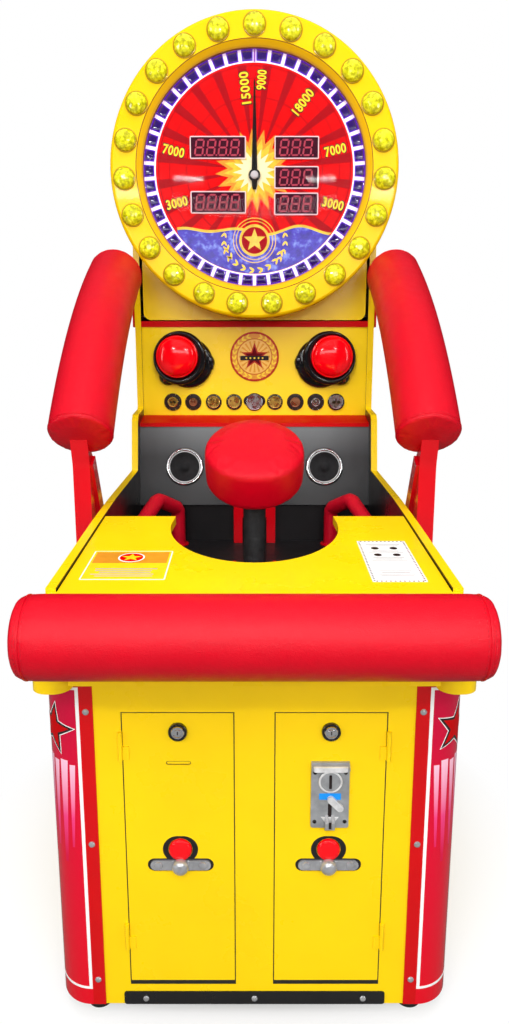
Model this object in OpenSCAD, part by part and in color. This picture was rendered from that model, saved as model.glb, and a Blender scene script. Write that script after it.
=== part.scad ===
// Boxing arcade machine: a cabinet with a punch pad on a swinging arm, a round score dial
// above it, two padded side guards, a padded front roll and two front doors.
// Millimetres, +Z up, the player stands at -Y. Inside the modules y = 0 is the face of the
// front panel and z = 0 is the floor.

/* [Cabinet] */
// Width across the two side panels
cab_w = 700; // [640:5:760]
// Depth from the front panel to the back
cab_d = 1330; // [1290:5:1420]
// Height of the cabinet behind the dial
cab_h = 1760; // [1720:5:1840]
// Thickness of a side panel
side_t = 18; // [12:1:22]
// Thickness of the inner boards
board_t = 12; // [9:1:15]
// Thickness of the front panel and bottom board
front_t = 18; // [12:1:20]
// Radius of the two front corners
corner_r = 60; // [50:1:70]
// Clearance under the cabinet
foot_h = 35; // [30:1:45]
// Radius of a levelling foot
foot_r = 22; // [16:1:26]
// Thickness of the sheet steel corner guards
guard_t = 2; // [1:0.5:3]
// Height of the top edge of the corner guards
guard_top_z = 650; // [620:5:656]
// Width of the flat strip of a corner guard
strip_w = 24; // [18:1:30]
// Height of the black kick plate
kick_h = 26; // [20:1:32]
// Length of the black kick plate
kick_w = 466; // [420:2:490]

/* [Doors] */
// Width of a front door
door_w = 184; // [170:1:190]
// Height of the bottom edge of the front doors
door_z0 = 84; // [80:1:110]
// Height of the top edge of the front doors
door_z1 = 599; // [580:1:610]
// Distance from the middle of the cabinet to the inner edge of a door
door_x0 = 35; // [30:1:42]
// Thickness of the door sheet
door_t = 3; // [2:0.5:4]
// Gap round a door
door_gap = 2; // [1.5:0.5:3]
// Radius of a hinge barrel
barrel_r = 4; // [3:0.5:5]
// Radius of a hinge pin
pin_r = 2; // [1.5:0.25:2.25]
// Radius of the face of a lock
lock_r = 15; // [13:0.5:17]
// Radius of the turning plug of a lock
plug_r = 8.5; // [7:0.5:10]
// Radius of a red door button
knob_r = 20; // [16:0.5:22]
// Travel of a red door button
knob_travel = 4; // [2:0.5:5]
// Length of the bright strap under a door button
strap_w = 104; // [90:1:110]
// Width of the coin acceptor plate
coin_w = 64; // [58:1:70]
// Height of the coin acceptor plate
coin_h = 121; // [112:1:130]

/* [Deck and well] */
// Height of the deck at the front panel
deck_z = 785; // [770:1:800]
// Rise of the deck in degrees
deck_slope = 4.5; // [3:0.5:6]
// Depth of the rear edge of the deck
deck_y1 = 495; // [470:5:510]
// Thickness of the deck
deck_t = 18; // [12:1:22]
// Height of the well floor
floor_z = 635; // [620:1:645]
// Half width of the cut-out in the deck
cut_a = 178; // [150:2:190]
// Front of the cut-out, measured from the front panel
cut_y0 = 198; // [180:2:230]
// How far the front beam stands out
beam_out = 64; // [56:1:70]
// Radius of the padded front roll
roll_r = 65; // [58:1:70]
// Length of the padded front roll
roll_w = 682; // [670:2:740]

/* [Punch arm] */
// Depth of the arm pivot
arm_y = 548; // [540:1:570]
// Height of the arm pivot above the well floor
pivot_h = 45; // [42:1:50]
// Outside radius of the sleeved arm
arm_r = 25; // [20:0.5:27]
// Height of the middle of the pad's underside above the pivot
arm_len = 215; // [205:1:230]
// Radius of the punch pad
pad_r = 113; // [100:1:118]
// Thickness of the punch pad at its middle
pad_t = 107; // [95:1:112]
// Tilt of the punch pad towards the player in degrees
pad_tilt = 30; // [22:1:34]
// Radius of the pivot shaft
shaft_r = 10; // [8:0.5:12]
// Running clearance of the bores, on the radius
run = 0.06; // [0.03:0.01:0.1]

/* [Upper cabinet] */
// Height of the bottom edge of the speaker panel
speaker_z0 = 743; // [735:1:755]
// Depth of the bottom edge of the speaker panel
speaker_y0 = 1025; // [1015:1:1035]
// Length of the speaker panel up its slope
speaker_len = 235; // [228:1:240]
// Lean of the speaker panel in degrees
speaker_lean = 12; // [10:0.5:14]
// Radius of a speaker ring
speaker_r = 54; // [46:1:60]
// Distance of a speaker from the middle
speaker_x = 203; // [190:1:230]
// Depth of the face of the button panel
panel_y = 1150; // [1140:1:1160]
// Height of the top edge of the button panel
panel_z1 = 1250; // [1240:1:1256]
// Radius of a start button
button_r = 61; // [50:1:64]
// Distance of a start button from the middle
button_x = 226; // [215:1:235]
// Height of the start buttons
button_z = 1165; // [1155:1:1172]
// Travel of a start button
button_travel = 5; // [3:0.5:6]
// Radius of the round badge
badge_r = 72; // [60:1:76]
// Radius of a small medal
medal_r = 24.5; // [20:0.5:26]
// Height of the row of medals
medal_z = 1032; // [1028:1:1040]

/* [Dial] */
// Outside radius of the dial housing
ring_r = 385; // [372:1:390]
// Height of the middle of the dial
ring_z = 1656; // [1648:1:1670]
// Depth of the dial housing
ring_d = 128; // [122:1:135]
// Radius of the inner edge of the lamp band
band_r = 315; // [310:1:322]
// Radius of the dial opening
dial_r = 299; // [292:1:303]
// Radius of the inner edge of the light ring
led_r = 266; // [255:0.5:268]
// Number of lamps round the dial
lamp_n = 23; // [18:1:24]
// Radius of a lamp
lamp_r = 30.5; // [24:0.5:32]
// Length of the needle
needle_len = 240; // [200:1:246]
// How far the needle pivot lies below the middle of the dial
needle_drop = 12; // [8:1:20]

/* [Side guards] */
// Distance from the side of the cabinet to the middle of a guard pad
guard_out = 30; // [26:1:50]
// Radius of a guard pad
guard_r = 75; // [60:1:78]
// Bend radius of a guard pad
guard_bend = 1545; // [1500:5:1600]
// Slope of the lower end of a guard pad in degrees
guard_a0 = 48.5; // [46:0.5:50]
// Slope of the upper end of a guard pad in degrees
guard_a1 = 24; // [24:0.5:26]
// Depth of the lower end of a guard pad
guard_y0 = 503; // [498:1:525]
// Height of the lower end of a guard pad
guard_z0 = 1000; // [995:1:1020]
// Side of the square tube of a guard frame
tube = 38; // [30:1:42]
// Radius of the bars in the well
rail_r = 20.5; // [15:0.5:22]

/* [Hidden] */
$fn = 64;

yellow = "#ffe100";
red = "#e0061c";
black = "#1b1b1d";
grey = "#4a4b4d";
bright = "#c8cacc";

// Gap between soft pads and what they rest on
soft_gap = 0.3;
// Play of screws and bolts in their bores, on the radius
bore_gap = 0.1;
// Shadow gap beside the deck and round the dial box
shadow_gap = 2;
eps = 0.01;

x_out = cab_w / 2;
x_in = x_out - side_t;
roll_y = -beam_out - roll_r + 1;
roll_z = deck_z - 4;
barrel_y = cab_d + barrel_r;
front_reach = roll_r - roll_y;
back_reach = cab_d + 2 * barrel_r;
front_y = (front_reach - back_reach) / 2;

deck_rise = tan(deck_slope);
deck_under = deck_t / cos(deck_slope);
rim = 5;
hood_y = speaker_y0 - 25;
hood_lift = 63;
hood_z = deck_z + hood_lift;
speaker_dy = speaker_len * sin(speaker_lean);
speaker_dz = speaker_len * cos(speaker_lean);
shelf_y = speaker_y0 + speaker_dy;
shelf_z = speaker_z0 + speaker_dz;
head_z = panel_z1 + 20;
pivot_z = floor_z + pivot_h;
door_cx = door_x0 + door_w / 2;
door_x1 = door_x0 + door_w;
hinge_x = door_x1 + barrel_r;
hinge_zs = [door_z0 + 66, door_z1 - 84];
hinge_l = 52;
cam_l = 44;
lock_z = door_z1 - 32;
knob_z = door_z0 + 262;
strap_h = 18;
strap_z = knob_z - knob_r - strap_h / 2 - 0.5;
coin_z = door_z1 - 147;
slot_z = lock_z - 58;
ring_y = panel_y - 2;
dial_h = ring_d - 30;
lamp_circle = 0.904 * ring_r;
shell_t = 26;
side_edge_y = panel_y - 2;
guard_cy = guard_y0 + guard_bend * sin(guard_a0);
guard_cz = guard_z0 - guard_bend * cos(guard_a0);
guard_x = x_out + guard_out;
frame_x = guard_x + 5;

function deck_at(y) = deck_z + y * deck_rise;
function guard_at(a) = [guard_cy - guard_bend * sin(a), guard_cz + guard_bend * cos(a)];
function ring_pos(i) = [lamp_circle * sin(360 * i / lamp_n), lamp_circle * cos(360 * i / lamp_n)];

// Moves a piece into the frame whose origin is the middle of the footprint on the floor
module placed() { translate([0, front_y, 0]) children(); }
module both() { children(); mirror([1, 0, 0]) children(); }
// Turns a shape drawn flat with its height along Z so that it faces the player from depth y
module facing(x, y, z) { translate([x, y, z]) rotate([90, 0, 0]) children(); }
// Extrudes an outline drawn in (depth, height) between two x positions
module across(x0, x1) {
    translate([x0, 0, 0]) rotate([90, 0, 90]) linear_extrude(x1 - x0) children();
}
module slab(x0, x1, y0, y1, z0, z1) { translate([x0, y0, z0]) cube([x1 - x0, y1 - y0, z1 - z0]); }
// Everything above the underside of the deck
module above_deck() {
    translate([-cab_w, 0, deck_z - deck_under]) rotate([deck_slope, 0, 0])
        translate([0, -cab_w, 0]) cube([2 * cab_w, 3 * cab_w, cab_w]);
}
// Square bar between two points of a side plane
module bar(x, a, b, w) {
    d = b - a;
    translate([x - w / 2, a[0], a[1]]) rotate([atan2(d[1], d[0]), 0, 0])
        translate([0, 0, -w / 2]) cube([w, norm(d), w]);
}
module rod(a, b, r) {
    d = b - a;
    translate(a) rotate([0, acos(d[2] / norm(d)), atan2(d[1], d[0])])
        cylinder(r = r, h = norm(d));
}
module at_speaker_panel(x, along) {
    translate([0, speaker_y0, speaker_z0]) rotate([-speaker_lean, 0, 0])
        translate([x, 0, along]) rotate([90, 0, 0]) children();
}

// Cabinet
sweep_y = deck_y1 - 45;
side_outline = [[corner_r, foot_h], [corner_r, deck_at(corner_r) + rim],
    [sweep_y, deck_at(sweep_y) + rim - 1], [hood_y - 360, hood_z - 12], [hood_y, hood_z],
    [hood_y + 30, shelf_z + 15], [hood_y + 46, shelf_z + 30], [side_edge_y - 6, shelf_z + 38],
    [side_edge_y, shelf_z + 46], [side_edge_y, cab_h], [cab_d, cab_h], [cab_d, foot_h]];

module side_panel() {
    color(yellow) placed() difference() {
        across(x_in, x_out) polygon(side_outline);
        bolt_bores();
    }
}
module side_panel_right() { side_panel(); }
module side_panel_left() { mirror([1, 0, 0]) side_panel(); }

// Quarter-round corner posts and the beam that carries the front roll
module front_frame() {
    color(yellow) placed() difference() {
        union() {
            both() intersection() {
                translate([x_out - corner_r, corner_r, foot_h]) cylinder(r = corner_r, h = deck_z);
                slab(x_out - corner_r, x_out, 0, corner_r, foot_h, deck_z);
            }
            slab(-bracket_x, bracket_x, -beam_out, 0, guard_top_z + 26, deck_z);
        }
        above_deck();
        for (s = strip_screws) both() facing(s[0], 5, s[1]) cylinder(r = screw_r + bore_gap, h = 20, center = true);
        feet_at() cylinder(r = stud_r + bore_gap, h = 200);
    }
}

module door_hole(x0, z0, z1) {
    slab(x0 - door_gap, x0 + door_w + door_gap, -1, front_t + 1, z0, z1);
}
module front_panel() {
    w = x_out - corner_r;
    color(yellow) placed() difference() {
        slab(-w, w, 0, front_t, foot_h, deck_z);
        both() door_hole(door_x0, door_z0 - 9, door_z1 + door_gap);
        above_deck();
        screw_bores();
    }
    color(yellow) placed() both() for (z = hinge_zs) {
        knuckle(hinge_x, z + hinge_l / 2 + 0.4, z + hinge_l, barrel_r);
        knuckle(hinge_x, z, z + hinge_l, pin_r);
        slab(hinge_x - 1.5, hinge_x + 3, -barrel_r, eps, z + hinge_l / 2 + 2, z + hinge_l - 2);
    }
}
module bottom_board() {
    color(black) placed() difference() {
        union() {
            slab(-x_in, x_in, corner_r, cab_d - board_t, foot_h, foot_h + front_t);
            slab(corner_r - x_out, x_out - corner_r, front_t, corner_r + eps, foot_h, foot_h + front_t);
        }
        feet_at() cylinder(r = stud_r + bore_gap, h = 200);
    }
}
rear_w = 400;
rear_z0 = 140;
rear_z1 = 560;
vent_z = 1400;
module rear_panel() {
    color(black) placed() difference() {
        slab(-x_in, x_in, cab_d - board_t, cab_d, foot_h, cab_h - 2);
        slab(-rear_w / 2 - door_gap, rear_w / 2 + door_gap, cab_d - board_t - 1, cab_d + 1,
            rear_z0 - door_gap, rear_z1 + door_gap);
        for (i = [0:7]) slab(-120, 120, cab_d - board_t - 1, cab_d + 1, vent_z + i * 22, vent_z + 8 + i * 22);
    }
    color(black) placed() for (z = rear_hinge_zs) {
        translate([rear_hinge_x, barrel_y, z + hinge_l / 2 + 0.4])
            cylinder(r = barrel_r, h = hinge_l / 2 - 0.4);
        translate([rear_hinge_x, barrel_y, z]) cylinder(r = pin_r, h = hinge_l);
        slab(rear_hinge_x - 1.5, rear_hinge_x + 3, cab_d - eps, barrel_y, z + hinge_l / 2 + 2, z + hinge_l - 2);
    }
}

cut_y1 = deck_y1 - 60;
cut_b = cut_y1 - cut_y0;
cut_outline = concat([for (i = [0:32]) [cut_a * cos(180 + i * 5.625), cut_y1 + cut_b * sin(180 + i * 5.625)]],
    [[cut_a - 4, deck_y1 + 5], [4 - cut_a, deck_y1 + 5]]);
module deck_panel() {
    w = x_in - shadow_gap;
    color(yellow) placed() difference() {
        translate([0, 0, deck_z]) rotate([deck_slope, 0, 0]) translate([0, 0, -deck_t]) {
            slab(-w, w, corner_r - 2, deck_y1 / cos(deck_slope), 0, deck_t);
            slab(-x_out + rim, x_out - rim, -beam_out, corner_r - 2, 0, deck_t);
        }
        translate([0, 0, floor_z]) linear_extrude(cab_w) polygon(cut_outline);
    }
}
bracket_x = x_out - 62;
module roll_brackets() {
    r = 28;
    color(yellow) placed() both() difference() {
        translate([0, 0, guard_top_z + 12]) linear_extrude(deck_z - guard_top_z) difference() {
            union() {
                translate([bracket_x, r - beam_out]) square([x_out - bracket_x, corner_r + beam_out - r]);
                translate([bracket_x + r, -beam_out]) square([x_out - bracket_x - 2 * r, corner_r]);
                for (x = [bracket_x + r, x_out - r]) translate([x, r - beam_out]) circle(r);
            }
            translate([x_out - corner_r, corner_r]) circle(corner_r + bore_gap);
            square([x_out - corner_r, cab_w]);
        }
        above_deck();
    }
}

// Well between the deck and the speaker panel
wall_y = speaker_y0 + 6;
module well_floor() {
    color(black) placed() difference() {
        slab(-x_in, x_in, corner_r, wall_y + board_t, floor_z - board_t, floor_z);
        for (f = bracket_bolts) translate([f[0], f[1], floor_z - 20]) cylinder(r = bolt_r + bore_gap, h = 30);
    }
}
module well_rear_wall() {
    color(black) placed() slab(-x_in, x_in, wall_y, wall_y + board_t, floor_z,
        speaker_z0 - board_t * sin(speaker_lean) - soft_gap);
}
module speaker_panel() {
    color(grey) placed() difference() {
        translate([-x_in, speaker_y0, speaker_z0]) rotate([-speaker_lean, 0, 0])
            cube([2 * x_in, board_t, speaker_len]);
        for (x = [-speaker_x, speaker_x]) at_speaker_panel(x, 111)
            cylinder(r = speaker_r - 9, h = 60, center = true);
    }
}
trim_t = 4;
lip_h = 7;
lip_dy = lip_h * tan(speaker_lean);
module trim_strips() {
    color(red) placed() {
        across(-x_in, x_in) polygon([[shelf_y - 3 - lip_dy, shelf_z - lip_h],
            [shelf_y - lip_dy, shelf_z - lip_h], [shelf_y, shelf_z], [panel_y, shelf_z + 16], [panel_y, shelf_z + 16 + trim_t],
            [shelf_y - 3, shelf_z + trim_t - 0.6]]);
        slab(-x_in, x_in, panel_y - trim_t, panel_y + board_t, panel_z1, head_z - 3);
    }
}
module button_panel() {
    color(yellow) placed() difference() {
        slab(-x_in, x_in, panel_y, panel_y + board_t, shelf_z + 4, panel_z1);
        for (x = [-button_x, button_x]) facing(x, panel_y, button_z)
            cylinder(r = 14, h = 60, center = true);
    }
}
module rounded(w, h, r) {
    square([w - 2 * r, h], center = true);
    square([w, h - 2 * r], center = true);
    for (x = [-1, 1], y = [-1, 1]) translate([x * (w / 2 - r), y * (h / 2 - r)]) circle(r);
}
module marquee_box() {
    w = 2 * (x_in - 4 * shadow_gap);
    h = cab_h - head_z;
    color(yellow) placed() difference() {
        facing(0, cab_d - board_t, head_z + h / 2)
            linear_extrude(cab_d - board_t - ring_y) rounded(w, h, 22);
        facing(0, cab_d - board_t + 1, head_z + h / 2)
            linear_extrude(cab_d - 2 * board_t - ring_y) rounded(w - 24, h - 24, 12);
    }
}

// Corner guards, kick plate and their screws
screw_r = 2;
bolt_r = 4;
stud_r = 6;
strip_screws = [[x_out - corner_r - strip_w / 2, guard_top_z - 48],
    [x_out - corner_r - strip_w / 2, (guard_top_z + foot_h) / 2 + 15],
    [x_out - corner_r - strip_w / 2, foot_h + 52]];
kick_screws = [for (x = [-1:1]) [x * (kick_w / 2 - 39), foot_h + kick_h / 2 - 1]];
module screw_bores() {
    both() for (s = strip_screws) facing(s[0], 0, s[1]) cylinder(r = screw_r + bore_gap, h = 60, center = true);
    for (s = kick_screws) facing(s[0], 0, s[1]) cylinder(r = screw_r + bore_gap, h = 60, center = true);
}
module corner_guards() {
    color(red) placed() both() difference() {
        translate([0, 0, foot_h]) linear_extrude(guard_top_z - foot_h) {
            difference() {
                translate([x_out - corner_r, corner_r]) circle(corner_r + guard_t);
                translate([x_out - corner_r, corner_r]) circle(corner_r);
                translate([0, -corner_r]) square([x_out - corner_r, 4 * corner_r]);
                translate([0, corner_r]) square([cab_w, cab_w]);
            }
            translate([x_out - corner_r - strip_w, -guard_t]) square([strip_w, guard_t]);
            translate([x_out, corner_r]) square([guard_t, 30]);
        }
        screw_bores();
    }
}
module kick_plate() {
    color(black) placed() difference() {
        facing(0, 0, foot_h + kick_h / 2) linear_extrude(guard_t) rounded(kick_w, kick_h, 5);
        screw_bores();
    }
}
module pan_screw(x, y, z, r, l) {
    facing(x, y, z) {
        rotate_extrude() polygon([[0, -l], [screw_r, -l], [screw_r, 0], [r, 0], [r, 1],
            [r * 0.8, 2.4], [r * 0.45, 3.2], [0, 3.4]]);
    }
}
// Hexagon bolt along Z with its seat at the origin
module bolt(l) {
    cylinder(r = 7.5, h = 5, $fn = 6);
    translate([0, 0, -l]) cylinder(r = bolt_r, h = l + eps);
}
module panel_screws() {
    color(bright) placed() {
        both() for (b = concat(frame_bolts, head_bolts)) translate([x_out + flange_t, b[0], b[1]])
            rotate([0, 90, 0]) bolt(flange_t + side_t + 4);
        for (f = bracket_bolts) translate([f[0], f[1], floor_z + cheek_t]) bolt(cheek_t + board_t + 4);
        both() for (s = strip_screws) pan_screw(s[0], -guard_t, s[1], 5.5, 12);
        for (s = kick_screws) pan_screw(s[0], -guard_t, s[1], 5.5, 12);
    }
}
module feet_at() {
    for (x = [-1, 1], y = [corner_r - 12, cab_d - 90])
        translate([x * (x_out - corner_r - 4), y, 0]) children();
}
module levelling_feet() {
    color(black) placed() feet_at() {
        rotate_extrude() polygon([[0, 0], [foot_r, 0], [foot_r, 6], [foot_r - 5, 13], [12, 16],
            [12, foot_h], [stud_r, foot_h], [stud_r, foot_h + front_t + 8], [0, foot_h + front_t + 8]]);
    }
}

// Dial head
module marquee_ring() {
    lip = 6;
    color(yellow) placed() facing(0, ring_y, ring_z) rotate_extrude($fn = 128) polygon([[0, 0],
        [ring_r, 0], [ring_r, ring_d - 8], [ring_r - 3, ring_d - 3], [ring_r - 8, ring_d], [band_r, ring_d],
        [dial_r, ring_d - 14], [dial_r, dial_h], [dial_r - lip, dial_h], [dial_r - lip, dial_h - 4],
        [dial_r + 5, dial_h - 4], [dial_r + 5, ring_d - 18], [band_r + 3, ring_d - 6],
        [ring_r - 9, ring_d - 6], [ring_r - 6, ring_d - 10], [ring_r - 6, 4], [0, 4]]);
}
module ring_lamps() {
    color("#e8e020") placed() facing(0, ring_y, ring_z) for (i = [0:lamp_n - 1])
        translate([ring_pos(i)[0], ring_pos(i)[1], ring_d]) rotate_extrude($fn = 32)
            polygon([[0, 0], [lamp_r, 0], [lamp_r, 3], [lamp_r - 3, 6], [lamp_r * 0.82, 11],
                [lamp_r * 0.55, 16], [lamp_r * 0.28, 18.5], [0, 19]]);
}
module dial_plate() {
    color(red) placed() difference() {
        facing(0, ring_y, ring_z) translate([0, 0, dial_h])
            cylinder(r = dial_r - shadow_gap / 10, h = 4, $fn = 128);
        facing(0, ring_y, ring_z - needle_drop) cylinder(r = 3.2, h = ring_d);
    }
}
module led_ring() {
    color("#f3ecff") placed() facing(0, ring_y, ring_z) translate([0, 0, dial_h + 4]) difference() {
        cylinder(r = dial_r - shadow_gap / 10, h = 3, $fn = 128);
        translate([0, 0, -1]) cylinder(r = led_r, h = 5, $fn = 128);
    }
}
// Displays as [x, height above the middle of the dial, digits]
displays = [[-98, 58, 4], [-98, -80, 4], [113, 58, 3], [113, -17, 3], [113, -84, 3]];
display_h = 57;
function display_w(digits) = 26 + 31 * digits;
module score_displays() {
    color(black) placed() facing(0, ring_y, ring_z) for (d = displays)
        translate([d[0] - display_w(d[2]) / 2, d[1] - display_h / 2, dial_h + 4])
            cube([display_w(d[2]), display_h, 7]);
}
lens_rise = 37;
lens_t = 3;
module dial_lens() {
    r = dial_r - 0.2;
    flange = r - 14;
    k = (r * r + lens_rise * lens_rise) / (2 * lens_rise);
    base = dial_h + 11;
    centre = base + lens_rise - k;
    color("#e8f4ff", 0.3) placed() facing(0, ring_y, ring_z) rotate_extrude($fn = 128)
        polygon(concat([[flange, base - 4], [r, base - 4]],
            [for (i = [12:-1:0]) [r * i / 12, centre + sqrt(k * k - pow(r * i / 12, 2))]],
            [for (i = [0:12]) [flange * i / 12, centre + sqrt(pow(k - lens_t, 2) - pow(flange * i / 12, 2))]]));
}
needle_h = dial_h + 12;
spindle_r = 3;
module needle_motor() {
    color(grey) placed() facing(0, ring_y, ring_z - needle_drop) {
        translate([0, 0, dial_h - 40]) cylinder(r = 28, h = 40);
        translate([0, 0, dial_h - 1]) cylinder(r = spindle_r, h = needle_h - dial_h + 8);
    }
}
module needle() {
    color(black) placed() facing(0, ring_y, ring_z - needle_drop) difference() {
        union() {
            translate([0, 0, needle_h - 4]) cylinder(r = 17, h = 9);
            translate([0, 0, needle_h + 5]) cylinder(r = 11, h = 5);
            translate([0, 0, needle_h]) linear_extrude(3) polygon([[-8, 0], [8, 0],
                [3.5, needle_len - 70], [2, needle_len], [-2, needle_len], [-3.5, needle_len - 70]]);
            translate([0, 0, needle_h]) linear_extrude(3) polygon([[-5, 0], [5, 0], [6, -38], [-6, -38]]);
        }
        cylinder(r = spindle_r + run, h = needle_h + 7.5);
    }
}

// Button panel fittings
collar_r = button_r + 9.5;
module glove_shells() {
    color(black) placed() both() difference() {
        union() {
            facing(button_x, panel_y, button_z) cylinder(r = collar_r, h = shell_t);
            facing(button_x - 26, panel_y, button_z - 12) cylinder(r = collar_r + 6, h = shell_t - 9);
            facing(button_x - 93, panel_y, button_z - 10) cylinder(r = 22, h = shell_t - 9);
            facing(button_x + 36, panel_y, button_z - 62) cylinder(r = 23, h = shell_t - 6);
        }
        facing(button_x, panel_y - shell_t + 18, button_z) cylinder(r = button_r + 0.5, h = 60);
        facing(button_x, panel_y, button_z) cylinder(r = 8.5, h = 200, center = true);
    }
}
module start_button(side) {
    h0 = shell_t - 18 + button_travel + 1;
    color(red) placed() facing(side * button_x, panel_y, button_z) {
        rotate_extrude() polygon([[0, h0], [button_r, h0], [button_r, shell_t + 6],
            [button_r - 3, shell_t + 12], [button_r - 9, shell_t + 18], [button_r * 0.65, shell_t + 26],
            [button_r * 0.35, shell_t + 30], [0, shell_t + 31.5]]);
        translate([0, 0, -30]) cylinder(r = 8, h = h0 + 31);
    }
}
module start_button_left() { start_button(-1); }
module start_button_right() { start_button(1); }
medal_pitch = 61;
module badges() {
    color("#e08a1e") placed() {
        facing(0, panel_y, button_z) cylinder(r = badge_r, h = 4);
        for (i = [-4:4]) facing(i * medal_pitch, panel_y, medal_z) cylinder(r = medal_r, h = 6);
    }
}
module speaker_rings() {
    color(bright) placed() for (x = [-speaker_x, speaker_x]) at_speaker_panel(x, 111)
        rotate_extrude() polygon([[speaker_r - 10, 0], [speaker_r, 0], [speaker_r, 3],
            [speaker_r - 3, 7], [speaker_r - 7, 8], [speaker_r - 10, 6]]);
}
module speakers() {
    color(black) placed() for (x = [-speaker_x, speaker_x]) at_speaker_panel(x, 111)
        rotate_extrude() polygon([[0, 3], [speaker_r - 20, 2.5], [speaker_r - 10.2, 0.5],
            [speaker_r - 10.2, -board_t - 3], [speaker_r - 20, -36], [speaker_r - 20, -58], [0, -58]]);
}

// Bent bars that guard the arm in the well
elbow = 0.5;
rail_pts = [[219, wall_y - 46, floor_z], [219, wall_y - 46, floor_z + 106],
    [266, wall_y - 124, floor_z + 146], [x_in - rail_r - 1, wall_y - 235, floor_z + 84]];
module well_rail() {
    color(red) placed() {
        for (i = [0:2]) rod(rail_pts[i], rail_pts[i + 1], rail_r);
        for (i = [1:3]) translate(rail_pts[i]) sphere(r = rail_r + elbow);
        translate(rail_pts[3]) rotate([0, 90, 0]) cylinder(r = rail_r, h = x_in - rail_pts[3][0]);
        translate(rail_pts[0]) cylinder(r = rail_r + 9, h = 4);
        translate([x_in - 4, rail_pts[3][1], rail_pts[3][2]]) rotate([0, 90, 0])
            cylinder(r = rail_r + 9, h = 4);
    }
}
module well_rail_right() { well_rail(); }
module well_rail_left() { mirror([1, 0, 0]) well_rail(); }

// Side guards
frame_drop = 30;
frame_z = floor_z - frame_drop;
leg_y = guard_y0 + tube;
leg_top = guard_z0 - 66;
foot_pitch = 210;
foot_y = leg_y + foot_pitch;
frame_bolts = [for (y = [leg_y, foot_y], z = [-42, 42]) [y, frame_z + z]];
head_y = side_edge_y + 10;
flange_t = 8;
core_r = 15;
// How far the bent tube runs on past the upper end of its pad, in degrees
tail = 0.35;
head_bolts = [for (z = [12, 62]) [head_y + 40, head_z + z]];
// Bores of the bolts that hold the guard frames on the side panels
module bolt_bores() {
    for (b = concat(frame_bolts, head_bolts)) translate([x_in - 40, b[0], b[1]])
        rotate([0, 90, 0]) cylinder(r = bolt_r + bore_gap, h = 100);
}
// Points of a rounded corner at p between the way up from below and the way on along b
function bent(p, b, l, back = false) =
    [for (i = [0:6]) let(t = (back ? 6 - i : i) / 6) p - [0, l * (1 - t) * (1 - t)] + b * l * t * t];
bend_r = 96;
module guard_frame() {
    low = guard_at(guard_a0);
    top = guard_at(guard_a1);
    low_dir = [cos(guard_a0), sin(guard_a0)];
    top_dir = [cos(guard_a1), sin(guard_a1)];
    knee = top + top_dir * 24;
    bend = [leg_y - tube / 2, leg_top];
    neck = (low - bend) / norm(low - bend);
    half_turn = (atan2(neck[1], neck[0]) - 90) / 2;
    color(red) placed() {
        difference() {
            across(frame_x - tube / 2, frame_x + tube / 2) polygon(concat(
                [bend - [0, leg_top - frame_z + 30]], bent(bend, neck, bend_r * tan(half_turn)),
                [low + neck * 10, low + neck * 10 + [neck[1], -neck[0]] * tube],
                bent(bend + tube * [1, tan(half_turn)], neck, (bend_r + tube) * tan(half_turn), true),
                [bend + [tube, frame_z - 30 - leg_top]]));
            rod(concat([guard_x], low - low_dir * soft_gap), concat([guard_x], low + low_dir * 80), guard_r + 1);
        }
        bar(guard_x - 3, [foot_y, frame_z - 30], [leg_y - 2, leg_top + 8], tube - 3);
        for (y = [leg_y, foot_y]) {
            slab(x_out + flange_t - eps, frame_x, y - 16, y + 16, frame_z - 20, frame_z + 20);
            difference() {
                slab(x_out, x_out + flange_t, y - 28, y + 28, frame_z - 55, frame_z + 55);
                bolt_bores();
            }
        }
        translate([guard_x, guard_cy, guard_cz]) rotate([0, 90, 0]) rotate([0, 0, 180 + guard_a1 - tail])
            rotate_extrude(angle = guard_a0 - guard_a1 + 1.4 * tail, $fn = 128)
                translate([guard_bend, 0]) circle(r = core_r);
        rod(concat([guard_x], top + top_dir * elbow), concat([guard_x], knee), core_r + elbow);
        translate(concat([guard_x], knee)) sphere(r = core_r + 2 * elbow);
        rod(concat([guard_x], knee), [guard_x, head_y + 60, knee[1]], core_r);
        slab(x_out + flange_t - eps, guard_x, head_y + 20, head_y + 56, knee[1] - 14, knee[1] + 14);
        difference() {
            slab(x_out, x_out + flange_t, head_y, head_y + 80, head_z - 20, knee[1] + 30);
            bolt_bores();
        }
    }
}
module guard_frame_right() { guard_frame(); }
module guard_frame_left() { mirror([1, 0, 0]) guard_frame(); }

// Rounded end of a pad, drawn from its end face inwards and a little slimmer than the pad
module pad_end(r, bore) {
    rotate_extrude($fn = 96) polygon(concat([[bore, 0], [r - 16, 0]],
        [for (a = [-72:18:0]) [r - 16 + 16 * cos(a), 16 + 16 * sin(a)]],
        [[r, 24], [bore, 24]]));
}
module guard_pad() {
    bore = core_r + soft_gap;
    step = 20 / guard_bend * 180 / PI;
    color(red) placed() translate([guard_x, guard_cy, guard_cz]) rotate([0, 90, 0]) {
        rotate([0, 0, 180 + guard_a1 + step])
            rotate_extrude(angle = guard_a0 - guard_a1 - 2 * step, $fn = 128)
                translate([guard_bend, 0]) difference() { circle(r = guard_r); circle(r = bore); }
        rotate([0, 0, 180 + guard_a0]) translate([guard_bend, 0, 0]) rotate([90, 0, 0])
            pad_end(guard_r - 0.3, bore + 0.5);
        rotate([0, 0, 180 + guard_a1]) translate([guard_bend, 0, 0]) rotate([-90, 0, 0])
            pad_end(guard_r - 0.3, bore + 0.5);
    }
}
module guard_pad_right() { guard_pad(); }
module guard_pad_left() { mirror([1, 0, 0]) guard_pad(); }

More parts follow.
